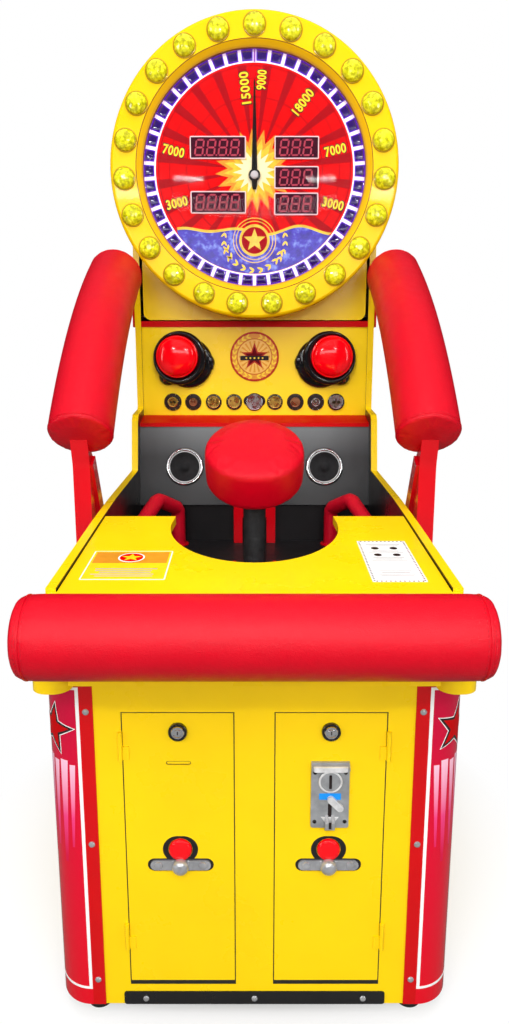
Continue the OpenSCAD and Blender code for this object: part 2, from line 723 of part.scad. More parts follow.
module front_roll() {
    edge = 26;
    color(red) placed() difference() {
        translate([-roll_w / 2, roll_y, roll_z]) rotate([0, 90, 0]) rotate_extrude($fn = 96)
            polygon(concat([[0, 0]],
                [for (a = [-90:18:0]) [roll_r - edge + edge * cos(a), edge + edge * sin(a)]],
                [for (a = [0:18:90]) [roll_r - edge + edge * cos(a), roll_w - edge + edge * sin(a)]],
                [[0, roll_w]]));
        slab(-roll_w, roll_w, -beam_out, 0, 0, 2 * roll_z);
    }
}

// Punch arm
hub_w = 36;
cheek_x = 42;
cheek_t = 8;
bracket_bolts = [for (x = [-62, 62], y = [-45, 45]) [x, arm_y + y]];
module arm_bracket() {
    color(red) placed() difference() {
        union() {
            slab(-76, 76, arm_y - 60, arm_y + 60, floor_z, floor_z + cheek_t);
            both() {
                slab(cheek_x, cheek_x + cheek_t, arm_y - 30, arm_y + 30, floor_z + 7, pivot_z);
                translate([cheek_x, arm_y, pivot_z]) rotate([0, 90, 0]) cylinder(r = 27, h = cheek_t);
            }
        }
        translate([-100, arm_y, pivot_z]) rotate([0, 90, 0]) cylinder(r = shaft_r, h = 200);
        for (f = bracket_bolts) translate([f[0], f[1], floor_z - 20]) cylinder(r = bolt_r + bore_gap, h = 60);
    }
}
module pivot_shaft() {
    l = cheek_x + cheek_t + 3;
    color(bright) placed() {
        translate([-l, arm_y, pivot_z]) rotate([0, 90, 0]) cylinder(r = shaft_r, h = 2 * l);
        for (s = [-1, 1]) translate([s * (l + 2) - 2.5, arm_y, pivot_z]) rotate([0, 90, 0])
            cylinder(r = shaft_r + 4, h = 5);
    }
}
module torsion_units() {
    l = cheek_x - hub_w / 2 - 0.4;
    color(black) placed() both() difference() {
        translate([cheek_x - l, arm_y, pivot_z]) rotate([0, 90, 0]) cylinder(r = 23, h = l);
        translate([0, arm_y, pivot_z]) rotate([0, 90, 0]) cylinder(r = shaft_r, h = 100);
    }
}
// The plane under the punch pad, with its height along the normal of the pad
module on_pad() {
    translate([0, arm_y, pivot_z + arm_len]) rotate([pad_tilt, 0, 0]) children();
}
plate_t = 8;
module swing_arm() {
    color(black) placed() difference() {
        union() {
            translate([0, arm_y, pivot_z]) cylinder(r = arm_r, h = arm_len + 10);
            translate([-hub_w / 2, arm_y, pivot_z]) rotate([0, 90, 0]) cylinder(r = 24, h = hub_w);
            on_pad() translate([0, 0, -plate_t]) cylinder(r = 72, h = plate_t);
        }
        on_pad() translate([-200, -200, 0]) cube([400, 400, 200]);
        translate([-50, arm_y, pivot_z]) rotate([0, 90, 0]) cylinder(r = shaft_r + run, h = 100);
        for (s = [-1, 1]) translate([s * (hub_w / 2 + 30), arm_y, pivot_z - 1]) cube([60, 80, 70], center = true);
    }
}
module target_pad() {
    edge = 16;
    color(red) placed() on_pad() rotate_extrude($fn = 96)
        polygon(concat([[0, 0], [pad_r - 22, 0]],
            [for (a = [-75:15:0]) [pad_r - 22 + 20 * cos(a), 20 + 20 * sin(a)]],
            [[pad_r, pad_t - 30]],
            [for (a = [0:15:75]) [pad_r - edge + edge * cos(a), pad_t - edge - 4 + edge * sin(a)]],
            [[pad_r * 0.5, pad_t - 1.5], [0, pad_t]]));
}
post_x = 35;
post_w = 25;
module rear_buffer() {
    color(red) placed() {
        both() slab(post_x, post_x + post_w, wall_y - 30, wall_y, floor_z, floor_z + 106);
        slab(-post_x, post_x, wall_y - 30, wall_y, floor_z + 76, floor_z + 106);
        facing(0, wall_y - 29, floor_z + 91) cylinder(r = 14, h = 40);
    }
}

// Front doors
module knuckle(x, z0, z1, r) { translate([x, -barrel_r, z0]) cylinder(r = r, h = z1 - z0); }
recess = 1.2;
module stadium(w, h) {
    square([w - h, h], center = true);
    for (s = [-1, 1]) translate([s * (w - h) / 2, 0]) circle(d = h);
}
module door_leaf(coin) {
    difference() {
        union() {
            slab(door_x0, door_x1, 0, door_t, door_z0, door_z1);
            for (x = [door_x0 + 8, door_x1 - 14])
                slab(x, x + 3, door_t - eps, 14, door_z0 + 12, door_z1 - 12);
            for (z = hinge_zs) {
                knuckle(hinge_x, z, z + hinge_l / 2, barrel_r - 0.3);
                slab(door_x1 - 10, door_x1, -2.5, 0.5, z + 1, z + hinge_l / 2 - 1);
                slab(door_x1 - 1, hinge_x, -2.5, -soft_gap, z + 1, z + hinge_l / 2 - 1);
            }
        }
        for (z = hinge_zs) knuckle(hinge_x, z - 1, z + hinge_l, pin_r + run);
        facing(door_cx, 0, lock_z) cylinder(r = lock_r - 4, h = 40, center = true);
        facing(door_cx, 0, knob_z) cylinder(r = knob_r + 0.5, h = 40, center = true);
        facing(door_cx, recess, knob_z) linear_extrude(9) stadium(61, 52);
        facing(door_cx, recess, strap_z) linear_extrude(9) stadium(strap_w + 10, 25);
        if (coin) slab(door_cx - coin_w / 2 + 5, door_cx + coin_w / 2 - 5, -1, 40,
            coin_z - coin_h / 2 + 5, coin_z + coin_h / 2 - 5);
        else facing(door_cx, recess, slot_z) linear_extrude(9) stadium(42, 7);
    }
}
module right_door() { color(yellow) placed() door_leaf(true); }
module left_door() { color(yellow) placed() mirror([1, 0, 0]) door_leaf(false); }

module lock_housing(x, y, z) {
    facing(x, y, z) rotate_extrude() polygon([[plug_r + run, -22], [lock_r - 4, -22],
        [lock_r - 4, 0], [lock_r, 0], [lock_r, 2], [lock_r - 2, 4.5], [plug_r + run, 4.5]]);
}
module fittings(x) {
    color(bright) placed() {
        lock_housing(x, 0, lock_z);
        facing(x, recess, strap_z) {
            linear_extrude(3.5) stadium(strap_w, strap_h);
            translate([-15, 1 - strap_h / 2, 0]) cube([30, strap_h - 2, recess + 5]);
            translate([0, 0, recess + 4]) rotate_extrude()
                polygon([[0, 0], [14.5, 0], [14.5, 1], [14, 5], [12, 9], [8, 12], [4, 13.5], [0, 14]]);
            for (s = [-1, 1]) translate([s * (strap_w / 2 - 14), 0, 3.4])
                rotate_extrude() polygon([[0, 0], [7.5, 0], [6.5, 2], [3, 3], [0, 3.2]]);
        }
    }
}
module left_fittings() { fittings(-door_cx); }
module right_fittings() { fittings(door_cx); }

module lock_plug(x, y, z) {
    facing(x, y, z) {
        difference() {
            translate([0, 0, -25]) cylinder(r = plug_r, h = 29);
            translate([-1, -4, 2.5]) cube([2, 8, 4]);
        }
        translate([0, 0, -28]) linear_extrude(3)
            union() { circle(r = 9); translate([-cam_l, -7]) square([cam_l, 14]); }
    }
}
module right_lock() { color(bright) placed() lock_plug(door_cx, 0, lock_z); }
module left_lock() { mirror([1, 0, 0]) right_lock(); }

module door_button(x) {
    color(red) placed() facing(x, 0, knob_z) rotate_extrude()
        polygon([[0, -door_t - 6], [knob_r, -door_t - 6], [knob_r, 2], [knob_r - 0.6, 3],
            [knob_r - 2, 3.6], [0, 4]]);
}
module left_door_button() { door_button(-door_cx); }
module right_door_button() { door_button(door_cx); }

lever_dx = 9;
lever_dz = -14;
module coin_acceptor() {
    color(bright) placed() difference() {
        union() {
            facing(door_cx, 0, coin_z) linear_extrude(5) rounded(coin_w, coin_h, 4);
            across(door_cx - coin_w / 2, door_cx + coin_w / 2) polygon([[0, coin_z + coin_h / 2],
                [-12, coin_z + coin_h / 2 - 8], [-12, coin_z + coin_h / 2 - 12],
                [0, coin_z + coin_h / 2 - 14]]);
            facing(door_cx, 0, coin_z + 27) cylinder(r = 20, h = 9);
            across(door_cx - 8, door_cx + 8) polygon([[0, coin_z - 32], [-16, coin_z - 46],
                [-16, coin_z - 58], [-5, coin_z - 66], [0, coin_z - 60]]);
            slab(door_cx - 26, door_cx + 26, -1, 92, coin_z - 52, coin_z + 52);
        }
        slab(door_cx - 1.7, door_cx + 1.7, -30, 30, coin_z + 14, coin_z + 40);
        slab(door_cx - 2.5, door_cx + 2.5, -30, 12, coin_z - 56, coin_z - 18);
        facing(door_cx + lever_dx, 0, coin_z + lever_dz) cylinder(r = 3 + run, h = 40, center = true);
    }
}
module coin_lever() {
    color(bright) placed() facing(door_cx + lever_dx, 0, coin_z + lever_dz) {
        translate([0, 0, -12]) cylinder(r = 3, h = 18);
        translate([0, 0, 5.5]) rotate([0, 0, -45]) linear_extrude(5) stadium(34, 12);
    }
}

// Rear door and what the cabinet holds
rear_hinge_x = rear_w / 2 + barrel_r;
rear_lock_x = -rear_w / 2 + 34;
rear_mid_z = (rear_z0 + rear_z1) / 2;
rear_hinge_zs = [rear_z0 + 50, rear_z1 - 50 - hinge_l];
module rear_door() {
    color(black) placed() difference() {
        union() {
            slab(-rear_w / 2, rear_w / 2, cab_d - door_t, cab_d, rear_z0, rear_z1);
            for (z = rear_hinge_zs) {
                translate([rear_hinge_x, barrel_y, z]) cylinder(r = barrel_r - 0.3, h = hinge_l / 2);
                slab(rear_w / 2 - 10, rear_w / 2, cab_d - 0.5, cab_d + 2.5, z + 1, z + hinge_l / 2 - 1);
                slab(rear_w / 2 - 1, rear_hinge_x, cab_d + soft_gap, cab_d + 2.5, z + 1, z + hinge_l / 2 - 1);
            }
        }
        for (z = rear_hinge_zs) translate([rear_hinge_x, barrel_y, z - 1])
            cylinder(r = pin_r + run, h = hinge_l);
        facing(rear_lock_x, cab_d, rear_mid_z) cylinder(r = plug_r + run, h = 40, center = true);
    }
}
module rear_lock() {
    color(bright) placed() translate([rear_lock_x, cab_d, rear_mid_z]) rotate([-90, 0, 0]) {
        difference() {
            translate([0, 0, -25]) cylinder(r = plug_r, h = 28);
            translate([-1, -4, 1.5]) cube([2, 8, 4]);
        }
        translate([0, 0, 0.3]) difference() {
            cylinder(r = plug_r + 4, h = 2.7);
            translate([0, 0, -1]) cylinder(r = plug_r - 1, h = 5);
        }
        translate([0, 0, -28]) linear_extrude(3)
            union() { circle(r = 9); translate([-7, -cam_l]) square([14, cam_l]); }
    }
}
pcb = [220, 160];
pcb_at = [700, 240];
pcb_off = 12;
pcb_t = 2;
pcb_edge = 10;
chip_pitch = pcb[0] / 4.4;
module control_board() {
    face = -x_in + pcb_off + pcb_t;
    color("#1d6b3a") placed() translate([0, pcb_at[0], pcb_at[1]]) {
        slab(-x_in + pcb_off, face, 0, pcb[0], 0, pcb[1]);
        for (y = [pcb_edge, pcb[0] - pcb_edge], z = [pcb_edge, pcb[1] - pcb_edge]) translate([-x_in, y, z])
            rotate([0, 90, 0]) cylinder(r = pcb_edge * 0.4, h = pcb_off);
        for (i = [0:3]) slab(face, face + 8 + 4 * i, 2 * pcb_edge + chip_pitch * i,
            2 * pcb_edge + chip_pitch * (i + 0.7), pcb[1] * 0.375, pcb[1] * 0.7);
    }
}
supply = [215, 115, 50];
supply_at = [-60, 900];
module power_supply() {
    color(bright) placed() translate([supply_at[0], supply_at[1], foot_h + front_t]) cube(supply);
}
box = [140, 190, 130];
box_y = 180;
box_t = 3;
module cash_box() {
    color(grey) placed() translate([door_cx - box[0] / 2, box_y, foot_h + front_t]) difference() {
        cube(box);
        translate([box_t, box_t, box_t]) cube([box[0] - 2 * box_t, box[1] - 2 * box_t, box[2]]);
    }
}

side_panel_left();
side_panel_right();
front_frame();
front_panel();
bottom_board();
rear_panel();
deck_panel();
roll_brackets();
well_floor();
well_rear_wall();
speaker_panel();
trim_strips();
button_panel();
marquee_box();
corner_guards();
kick_plate();
panel_screws();
levelling_feet();
marquee_ring();
ring_lamps();
led_ring();
dial_plate();
score_displays();
dial_lens();
needle_motor();
needle();
glove_shells();
start_button_left();
start_button_right();
badges();
speaker_rings();
speakers();
well_rail_left();
well_rail_right();
guard_frame_left();
guard_frame_right();
guard_pad_left();
guard_pad_right();
front_roll();
arm_bracket();
pivot_shaft();
torsion_units();
swing_arm();
target_pad();
rear_buffer();
left_door();
right_door();
left_fittings();
right_fittings();
left_lock();
right_lock();
left_door_button();
right_door_button();
coin_acceptor();
coin_lever();
rear_door();
rear_lock();
control_board();
power_supply();
cash_box();
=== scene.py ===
"""Boxing arcade machine, dressed round its packed model.

Each group of pieces has its own operator, and the panel lists their sizes and colours.
Lengths inside the builders are millimetres in the cabinet's own frame: x from the middle, y behind
the front panel, z above the floor. at() and the frames below turn them into the model's metres.
The guard pads, the punch pad, seams, patterns in materials and the stage are written in metres.
"""

import math
from functools import partial

import bmesh
import bpy
from mathutils import Matrix, Vector
from mathutils.bvhtree import BVHTree


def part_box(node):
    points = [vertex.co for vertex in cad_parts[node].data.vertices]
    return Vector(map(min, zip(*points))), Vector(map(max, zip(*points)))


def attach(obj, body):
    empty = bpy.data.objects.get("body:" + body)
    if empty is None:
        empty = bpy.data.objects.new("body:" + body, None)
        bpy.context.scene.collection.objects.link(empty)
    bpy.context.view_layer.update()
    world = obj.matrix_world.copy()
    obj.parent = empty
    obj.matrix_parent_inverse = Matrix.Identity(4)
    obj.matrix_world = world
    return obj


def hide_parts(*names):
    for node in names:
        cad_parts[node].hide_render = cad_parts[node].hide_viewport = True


bl_info = {
    "name": "Boxing Arcade Machine",
    "version": (1, 0, 0),
    "blender": (4, 5, 0),
    "location": "View3D > Sidebar > Boxing Machine",
    "description": "Pads, dial, lamps, buttons and finishes of a boxing arcade machine",
    "category": "Add Mesh",
}

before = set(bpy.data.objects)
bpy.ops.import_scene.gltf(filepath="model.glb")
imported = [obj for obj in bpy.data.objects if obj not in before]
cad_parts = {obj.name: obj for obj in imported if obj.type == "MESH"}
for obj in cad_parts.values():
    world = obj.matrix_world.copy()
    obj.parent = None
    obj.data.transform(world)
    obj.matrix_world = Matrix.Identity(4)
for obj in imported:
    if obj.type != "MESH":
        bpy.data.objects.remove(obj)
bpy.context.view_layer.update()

MM = 0.001
CABINET_DEPTH = 1330
FRONT_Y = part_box("side_panel_right")[1].y - CABINET_DEPTH * MM
RED, YELLOW = (0.58, 0.0, 0.011), (0.96, 0.64, 0.001)


# Frames of the machine's faces, each taking millimetres to the model's metres


def at(x, y, z):
    return Vector((x * MM, y * MM + FRONT_Y, z * MM))


def facing(x, y, z):
    """A frame on a wall that faces the player: across, up, towards the player."""
    return Matrix.Translation(at(x, y, z)) @ Matrix.Rotation(math.pi / 2, 4, "X") @ Matrix.Scale(MM, 4)


SPEAKER_PANEL_Y, SPEAKER_PANEL_Z, SPEAKER_PANEL_LEAN = 1025, 743, -12


def on_speaker_panel(x, along):
    """A frame on the leaning panel: across, up along its slope, towards the player."""
    foot = Matrix.Translation(at(0, SPEAKER_PANEL_Y, SPEAKER_PANEL_Z))
    slope = foot @ Matrix.Rotation(math.radians(SPEAKER_PANEL_LEAN), 4, "X")
    spot = Matrix.Translation((x * MM, 0, along * MM)) @ Matrix.Rotation(math.pi / 2, 4, "X")
    return slope @ spot @ Matrix.Scale(MM, 4)


WORLD_MM = Matrix.Translation((0, FRONT_Y, 0)) @ Matrix.Scale(MM, 4)
SIDES = ((-1, "left"), (1, "right"))
DIAL_Y, DIAL_Z = 1148, 1656


# Meshes


def angles(count):
    """Angles set evenly round a circle."""
    return [2 * math.pi * i / count for i in range(count)]


def quarter(count):
    """Angles from the rim of a round edge to just before its top."""
    return [math.pi / 2 * i / count for i in range(count)]


def polar(reach, angle):
    return reach * math.cos(angle), reach * math.sin(angle)


def band(inner, outer, low, high):
    """The closed profile of a flat ring."""
    return [(inner, low), (outer, low), (outer, high), (inner, high), (inner, low)]


def lathe(profile, steps=64):
    """Turns (radius, height) points round the upright axis of a frame."""
    verts, faces, rings = [], [], []
    for r, h in profile:
        start = len(verts)
        if r < 1e-6:
            verts.append((0, 0, h))
            rings.append([start] * steps)
        else:
            verts += [(*polar(r, t), h) for t in angles(steps)]
            rings.append(list(range(start, start + steps)))
    for a, b in zip(rings, rings[1:]):
        for i in range(steps):
            j = (i + 1) % steps
            corners = list(dict.fromkeys((a[i], a[j], b[j], b[i])))
            if len(corners) > 2:
                faces.append(corners)
    return verts, faces


def loft(rings, closed=False):
    """Joins rings of equally many points, with flat ends unless the rings run round in a loop."""
    n = len(rings[0])
    verts = [tuple(p) for ring in rings for p in ring]
    pairs = list(zip(range(len(rings)), range(1, len(rings))))
    if closed:
        pairs.append((len(rings) - 1, 0))
    faces = [
        (a * n + i, a * n + (i + 1) % n, b * n + (i + 1) % n, b * n + i) for a, b in pairs for i in range(n)
    ]
    if not closed:
        faces.append(list(range(n))[::-1])
        faces.append([(len(rings) - 1) * n + i for i in range(n)])
    return verts, faces


def inset(outline, distance):
    """Moves a flat outline that runs anticlockwise inwards."""
    n, shifted = len(outline), []
    for i in range(n):
        p, q, r = (Vector(outline[k % n]) for k in (i - 1, i, i + 1))
        a, b = (q - p).normalized(), (r - q).normalized()
        normal = Vector((-a.y - b.y, a.x + b.x))
        if normal.length < 1e-6:
            normal = Vector((-a.y, a.x))
        normal.normalize()
        reach = distance / max(0.5, normal.dot(Vector((-a.y, a.x))))
        shifted.append(tuple(q + normal * reach))
    return shifted


def raised(outline, profile):
    """Builds a flat outline up through (inset, height) steps."""
    return loft([[(*p, h) for p in (inset(outline, d) if d else outline)] for d, h in profile])


def oval(w, h, steps=48):
    return [(w / 2 * math.cos(t), h / 2 * math.sin(t)) for t in angles(steps)]


def rounded(w, h, r, steps=6):
    """A rectangle with round corners."""
    corners = [
        (w / 2 - r, h / 2 - r, 0), (r - w / 2, h / 2 - r, 90), (r - w / 2, r - h / 2, 180),
        (w / 2 - r, r - h / 2, 270),
    ]
    return [
        (
            x + r * math.cos(math.radians(a + 90 * k / steps)),
            y + r * math.sin(math.radians(a + 90 * k / steps)),
        )
        for x, y, a in corners
        for k in range(steps + 1)
    ]


def star(points, outer, inner, turn=90.0):
    return [
        polar(inner if k % 2 else outer, math.radians(turn + 180 * k / points)) for k in range(2 * points)
    ]


def moved(outline, x=0.0, y=0.0, turn=0.0):
    c, s = math.cos(math.radians(turn)), math.sin(math.radians(turn))
    return [(x + c * u - s * v, y + s * u + c * v) for u, v in outline]


def framed(outer, inner, low, high):
    """A flat frame between two outlines."""
    edges = ((outer, low), (outer, high), (inner, high), (inner, low))
    return loft([[(*p, h) for p in edge] for edge, h in edges], closed=True)


def tube(path, radius, steps=16, closed=False):
    """A round rod along a path of points."""
    path = [Vector(p) for p in path]
    n, rings, side = len(path), [], None
    for i, p in enumerate(path):
        before, after = (path[i - 1], path[(i + 1) % n]) if closed else (
            path[max(i - 1, 0)], path[min(i + 1, n - 1)]
        )
        along = (after - before).normalized()
        if side is None:
            side = along.orthogonal().normalized()
        side = (side - along * side.dot(along)).normalized()
        up = along.cross(side)
        r = radius[i] if isinstance(radius, (list, tuple)) else radius
        rings.append([p + side * (r * math.cos(t)) + up * (r * math.sin(t)) for t in angles(steps)])
    if closed:  # the frame has turned a little after one round, so the first ring is matched to the last
        best = min(range(steps), key=lambda k: (rings[0][k] - rings[-1][0]).length)
        rings[0] = rings[0][best:] + rings[0][:best]
        for i in range(1, n):
            shift = min(range(steps), key=lambda k: (rings[i][k] - rings[i - 1][0]).length)
            rings[i] = rings[i][shift:] + rings[i][:shift]
    return loft(rings, closed)


def joined(*parts):
    verts, faces = [], []
    for v, f in parts:
        start = len(verts)
        verts += v
        faces += [[i + start for i in face] for face in f]
    return verts, faces


def placed(part, place):
    return [tuple(place @ Vector(v)) for v in part[0]], part[1]


def mesh_piece(name, part, finish, body="root", place=None, smooth=30.0, slot=None, replaces=()):
    """Makes an object from a part, smooths its round faces and hangs it on its body."""
    mesh = bpy.data.meshes.new(name)
    mesh.from_pydata([tuple(v) for v in part[0]], [], [list(f) for f in part[1]])
    if place is not None:
        mesh.transform(place)
    mesh.update()
    piece = bpy.data.objects.new(name, mesh)
    bpy.context.scene.collection.objects.link(piece)
    return hang(piece, finish, body, smooth, replaces)


def hang(piece, finish, body="root", smooth=30.0, replaces=()):
    mesh = piece.data
    if smooth:
        mesh.shade_smooth()
        mesh.set_sharp_from_angle(angle=math.radians(smooth))
    mesh.materials.clear()
    mesh.materials.append(FINISH[finish])
    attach(piece, body)
    if replaces:
        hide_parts(*replaces)
    return piece


def cleaned(piece, distance=0.00002):
    """Merges doubled points and turns the faces of a closed piece outwards."""
    bm = bmesh.new()
    bm.from_mesh(piece.data)
    bmesh.ops.remove_doubles(bm, verts=bm.verts, dist=distance)
    bmesh.ops.recalc_face_normals(bm, faces=bm.faces)
    bm.to_mesh(piece.data)
    bm.free()
    return piece


# Nodes


def add_node(tree, kind, inputs=(), **settings):
    """Adds a node to a tree, sets it, and links or fills its sockets."""
    made = tree.nodes.new(kind)
    for key, value in settings.items():
        setattr(made, key, value)
    for key, value in dict(inputs).items():
        if isinstance(value, bpy.types.NodeSocket):
            tree.links.new(value, made.inputs[key])
        else:
            made.inputs[key].default_value = value
    return made


def wire(tree, kind, inputs=(), **settings):
    return add_node(tree, kind, inputs, **settings).outputs


def blank_tree(data):
    """The empty node tree of a new material or world."""
    data.use_nodes = True
    data.node_tree.nodes.clear()
    return data.node_tree


# Finishes


class Finish:
    """A node material: one shader, and helpers that feed its sockets from object coordinates."""

    def __init__(self, name, colour, roughness=0.4, metallic=0.0, **sockets):
        self.mat = bpy.data.materials.new(name)
        self.tree = blank_tree(self.mat)
        self.links = self.tree.links
        self.shader = self.node(
            "ShaderNodeBsdfPrincipled",
            {"Base Color": (*colour, 1), "Roughness": roughness, "Metallic": metallic},
        )
        self.node("ShaderNodeOutputMaterial", {0: self.shader.outputs[0]})
        for socket, value in sockets.items():
            self.shader.inputs[socket.replace("_", " ")].default_value = value
        self.coords = self.node("ShaderNodeTexCoord").outputs["Object"]
        self.colour = colour
        self.mat.diffuse_color = (*colour, 1)

    def node(self, kind, inputs=(), **settings):
        return add_node(self.tree, kind, inputs, **settings)

    def math(self, operation, a, b=0.0):
        return self.node("ShaderNodeMath", {0: a, 1: b}, operation=operation).outputs[0]

    def near(self, value, place, reach):
        """1 where a value is within reach of a place."""
        return self.math("LESS_THAN", self.math("ABSOLUTE", self.math("SUBTRACT", value, place)), reach)

    def where(self, centre=(0, 0, 0)):
        offset = tuple(-c for c in centre)
        return self.node("ShaderNodeMapping", {"Vector": self.coords, "Location": offset}).outputs[0]

    def axes(self, centre=(0, 0, 0)):
        return self.node("ShaderNodeSeparateXYZ", {0: self.where(centre)}).outputs

    def noise(self, scale, detail=3.0):
        return self.node(
            "ShaderNodeTexNoise",
            {"Vector": self.where(), "Scale": scale, "Detail": detail, "Roughness": 0.55},
        ).outputs[0]

    def cells(self, scale):
        return self.node("ShaderNodeTexVoronoi", {"Vector": self.coords, "Scale": scale}).outputs["Distance"]

    def span(self, value, low, high, to_low=0.0, to_high=1.0):
        return self.node(
            "ShaderNodeMapRange",
            {"Value": value, "From Min": low, "From Max": high, "To Min": to_low, "To Max": to_high},
        ).outputs[0]

    def ramp(self, value, *stops):
        made = self.node("ShaderNodeValToRGB", {0: value})
        elements = made.color_ramp.elements
        while len(elements) < len(stops):
            elements.new(0.5)
        for element, (place, colour) in zip(elements, stops):
            element.position, element.color = place, (*colour, 1)
        return made.outputs[0]

    def blend(self, value, a, b):
        a, b = ((*c, 1) if isinstance(c, tuple) else c for c in (a, b))
        return self.node("ShaderNodeMix", {0: value, 6: a, 7: b}, data_type="RGBA").outputs[2]

    def tint(self, colour):
        self.links.new(colour, self.shader.inputs["Base Color"])
        return self

    def mottled(self, scale, amount, colour=None):
        """Varies the colour softly between a darker and a lighter tone."""
        base = colour or self.colour
        dark = tuple(c * (1 - amount) for c in base)
        light = tuple(min(1.0, c * (1 + amount)) for c in base)
        tone = self.ramp(self.noise(scale), (0.3, dark), (0.7, light))
        if colour is None:
            self.tint(tone)
        return tone

    def worn(self, scale, low, high):
        self.links.new(
            self.span(self.noise(scale, 5.0), 0.3, 0.7, low, high), self.shader.inputs["Roughness"]
        )
        return self

    def bumped(self, height, distance, strength=1.0):
        bump = self.node("ShaderNodeBump", {"Height": height, "Strength": strength, "Distance": distance})
        before = self.shader.inputs["Normal"].links
        if before:
            self.links.new(before[0].from_socket, bump.inputs["Normal"])
        self.links.new(bump.outputs[0], self.shader.inputs["Normal"])
        return self

    def glowing(self, colour, strength):
        self.shader.inputs["Emission Color"].default_value = (*colour, 1)
        self.shader.inputs["Emission Strength"].default_value = strength
        return self


def paint(name, colour, roughness=0.3, mottle=0.035, coat=0.12):
    """Sprayed paint: a faint orange peel, soft tone changes and uneven gloss."""
    made = Finish(name, colour, roughness, Coat_Weight=coat, Coat_Roughness=0.12, Specular_IOR_Level=0.35)
    made.mottled(5.0, mottle)
    made.worn(9.0, roughness * 0.8, roughness * 1.25)
    return made.bumped(made.noise(420.0, 1.0), 0.00012)


def leather(name, colour, roughness=0.36):
    """Coated upholstery cover: fine pebble grain, creases and a soft sheen."""
    made = Finish(name, colour, roughness, Specular_IOR_Level=0.3)
    made.mottled(14.0, 0.08)
    made.worn(40.0, roughness * 0.85, roughness * 1.2)
    made.bumped(made.cells(620.0), 0.00045, 0.9)
    return made.bumped(made.noise(60.0, 4.0), 0.0009, 0.6)


def moulded(name, colour, roughness=0.12, **sockets):
    """Moulded plastic with a polished skin."""
    made = Finish(
        name, colour, roughness, Coat_Weight=0.3, Coat_Roughness=0.05, Specular_IOR_Level=0.4, **sockets
    )
    made.mottled(8.0, 0.04)
    made.worn(25.0, roughness * 0.7, roughness * 1.5)
    return made.bumped(made.noise(150.0, 2.0), 0.00006)


def metal(name, colour, roughness=0.22):
    """Bare or plated metal with a fine grain."""
    made = Finish(name, colour, roughness, 1.0)
    made.mottled(30.0, 0.1)
    made.worn(60.0, roughness * 0.6, roughness * 1.5)
    return made.bumped(made.noise(900.0, 2.0), 0.00005)


def print_ink(name, colour, roughness=0.25, mottle=0.06):
    """Printed film: even ink under a thin clear coat."""
    made = Finish(name, colour, roughness, Coat_Weight=0.25, Coat_Roughness=0.08, Specular_IOR_Level=0.35)
    made.mottled(60.0, mottle)
    return made.bumped(made.noise(300.0, 1.0), 0.00003)


SIDE_INSIDE, STRIP_HALF = 0.3325, 0.2885  # metres from the middle
BEVEL_LINE, BEVEL_EDGE = 0.3155, 0.3148  # metres from the middle of the dial


def cabinet_paint():
    """Yellow outside, black where the side panels face the well."""
    made = paint("cabinet_side_paint", YELLOW)
    across = made.axes()[0]
    inner = made.near(across, 0.0, SIDE_INSIDE)
    tone = made.blend(inner, made.mottled(5.0, 0.035, YELLOW), made.mottled(40.0, 0.3, (0.012, 0.011, 0.012)))
    return made.tint(tone)


def ring_paint():
    """Glossy yellow moulding whose inner bevel is a darker gold behind a thin dark line."""
    made = moulded("ring_yellow", (0.82, 0.52, 0.001), 0.2)
    x, _, z = made.axes((0, 0, DIAL_Z * MM))
    reach = made.math("SQRT", made.math("ADD", made.math("MULTIPLY", x, x), made.math("MULTIPLY", z, z)))
    gold = made.ramp(
        made.span(reach, 0.299, 0.315), (0.0, (0.50, 0.24, 0.02)), (0.35, (0.74, 0.42, 0.01)),
        (1.0, (0.80, 0.46, 0.003)),
    )
    face = made.mottled(5.0, 0.03, (0.84, 0.53, 0.001))
    tone = made.blend(made.math("LESS_THAN", reach, BEVEL_EDGE), face, gold)
    line = made.near(reach, BEVEL_LINE, 0.0011)
    return made.tint(made.blend(line, tone, (0.20, 0.07, 0.01)))


def wrap_print():
    """Red printed film whose tone runs to crimson with height."""
    made = print_ink("wrap_red", (0.78, 0.0, 0.02), 0.16)
    x, _, z = made.axes()
    height = made.ramp(
        made.span(z, 0.06, 0.64), (0.0, (0.74, 0.0, 0.012)), (0.55, (0.68, 0.0, 0.026)),
        (1.0, (0.56, 0.0, 0.040)),
    )
    strip = made.near(x, 0.0, STRIP_HALF)
    return made.tint(made.blend(strip, height, made.mottled(9.0, 0.05, (0.60, 0.0, 0.002))))


def streak_print():
    made = print_ink("wrap_streaks", (0.9, 0.2, 0.45))
    z = made.axes()[2]
    return made.tint(
        made.ramp(
            made.span(z, 0.33, 0.52), (0.0, (0.66, 0.0, 0.05)), (0.4, (0.86, 0.05, 0.22)),
            (1.0, (1.0, 0.62, 0.76)),
        )
    )


def lamp_plastic():
    """Cut yellow-green plastic that glints from its facets; its mottle from dark olive to pale yellow is
    painted shade and painted glints.
    """
    made = Finish("lamp_plastic", (0.78, 0.80, 0.02), 0.08, Coat_Weight=0.8, Coat_Roughness=0.03, IOR=1.55)
    # Painted shade and painted glints: the noise mottle runs from dark olive to pale yellow.
    made.tint(
        made.ramp(
            made.noise(110.0, 2.0), (0.35, (0.36, 0.33, 0.0)), (0.5, (0.62, 0.60, 0.004)),
            (0.65, (0.84, 0.82, 0.02)),
        )
    )
    return made.bumped(made.noise(300.0, 1.0), 0.0001).glowing((0.60, 0.58, 0.01), 0.05)


def sunk_blue():
    made = print_ink("dial_blue", (0.03, 0.02, 0.35))
    return made.tint(
        made.ramp(
            made.noise(38.0, 6.0), (0.3, (0.02, 0.01, 0.20)), (0.52, (0.05, 0.03, 0.50)),
            (0.72, (0.25, 0.35, 0.85)),
        )
    )


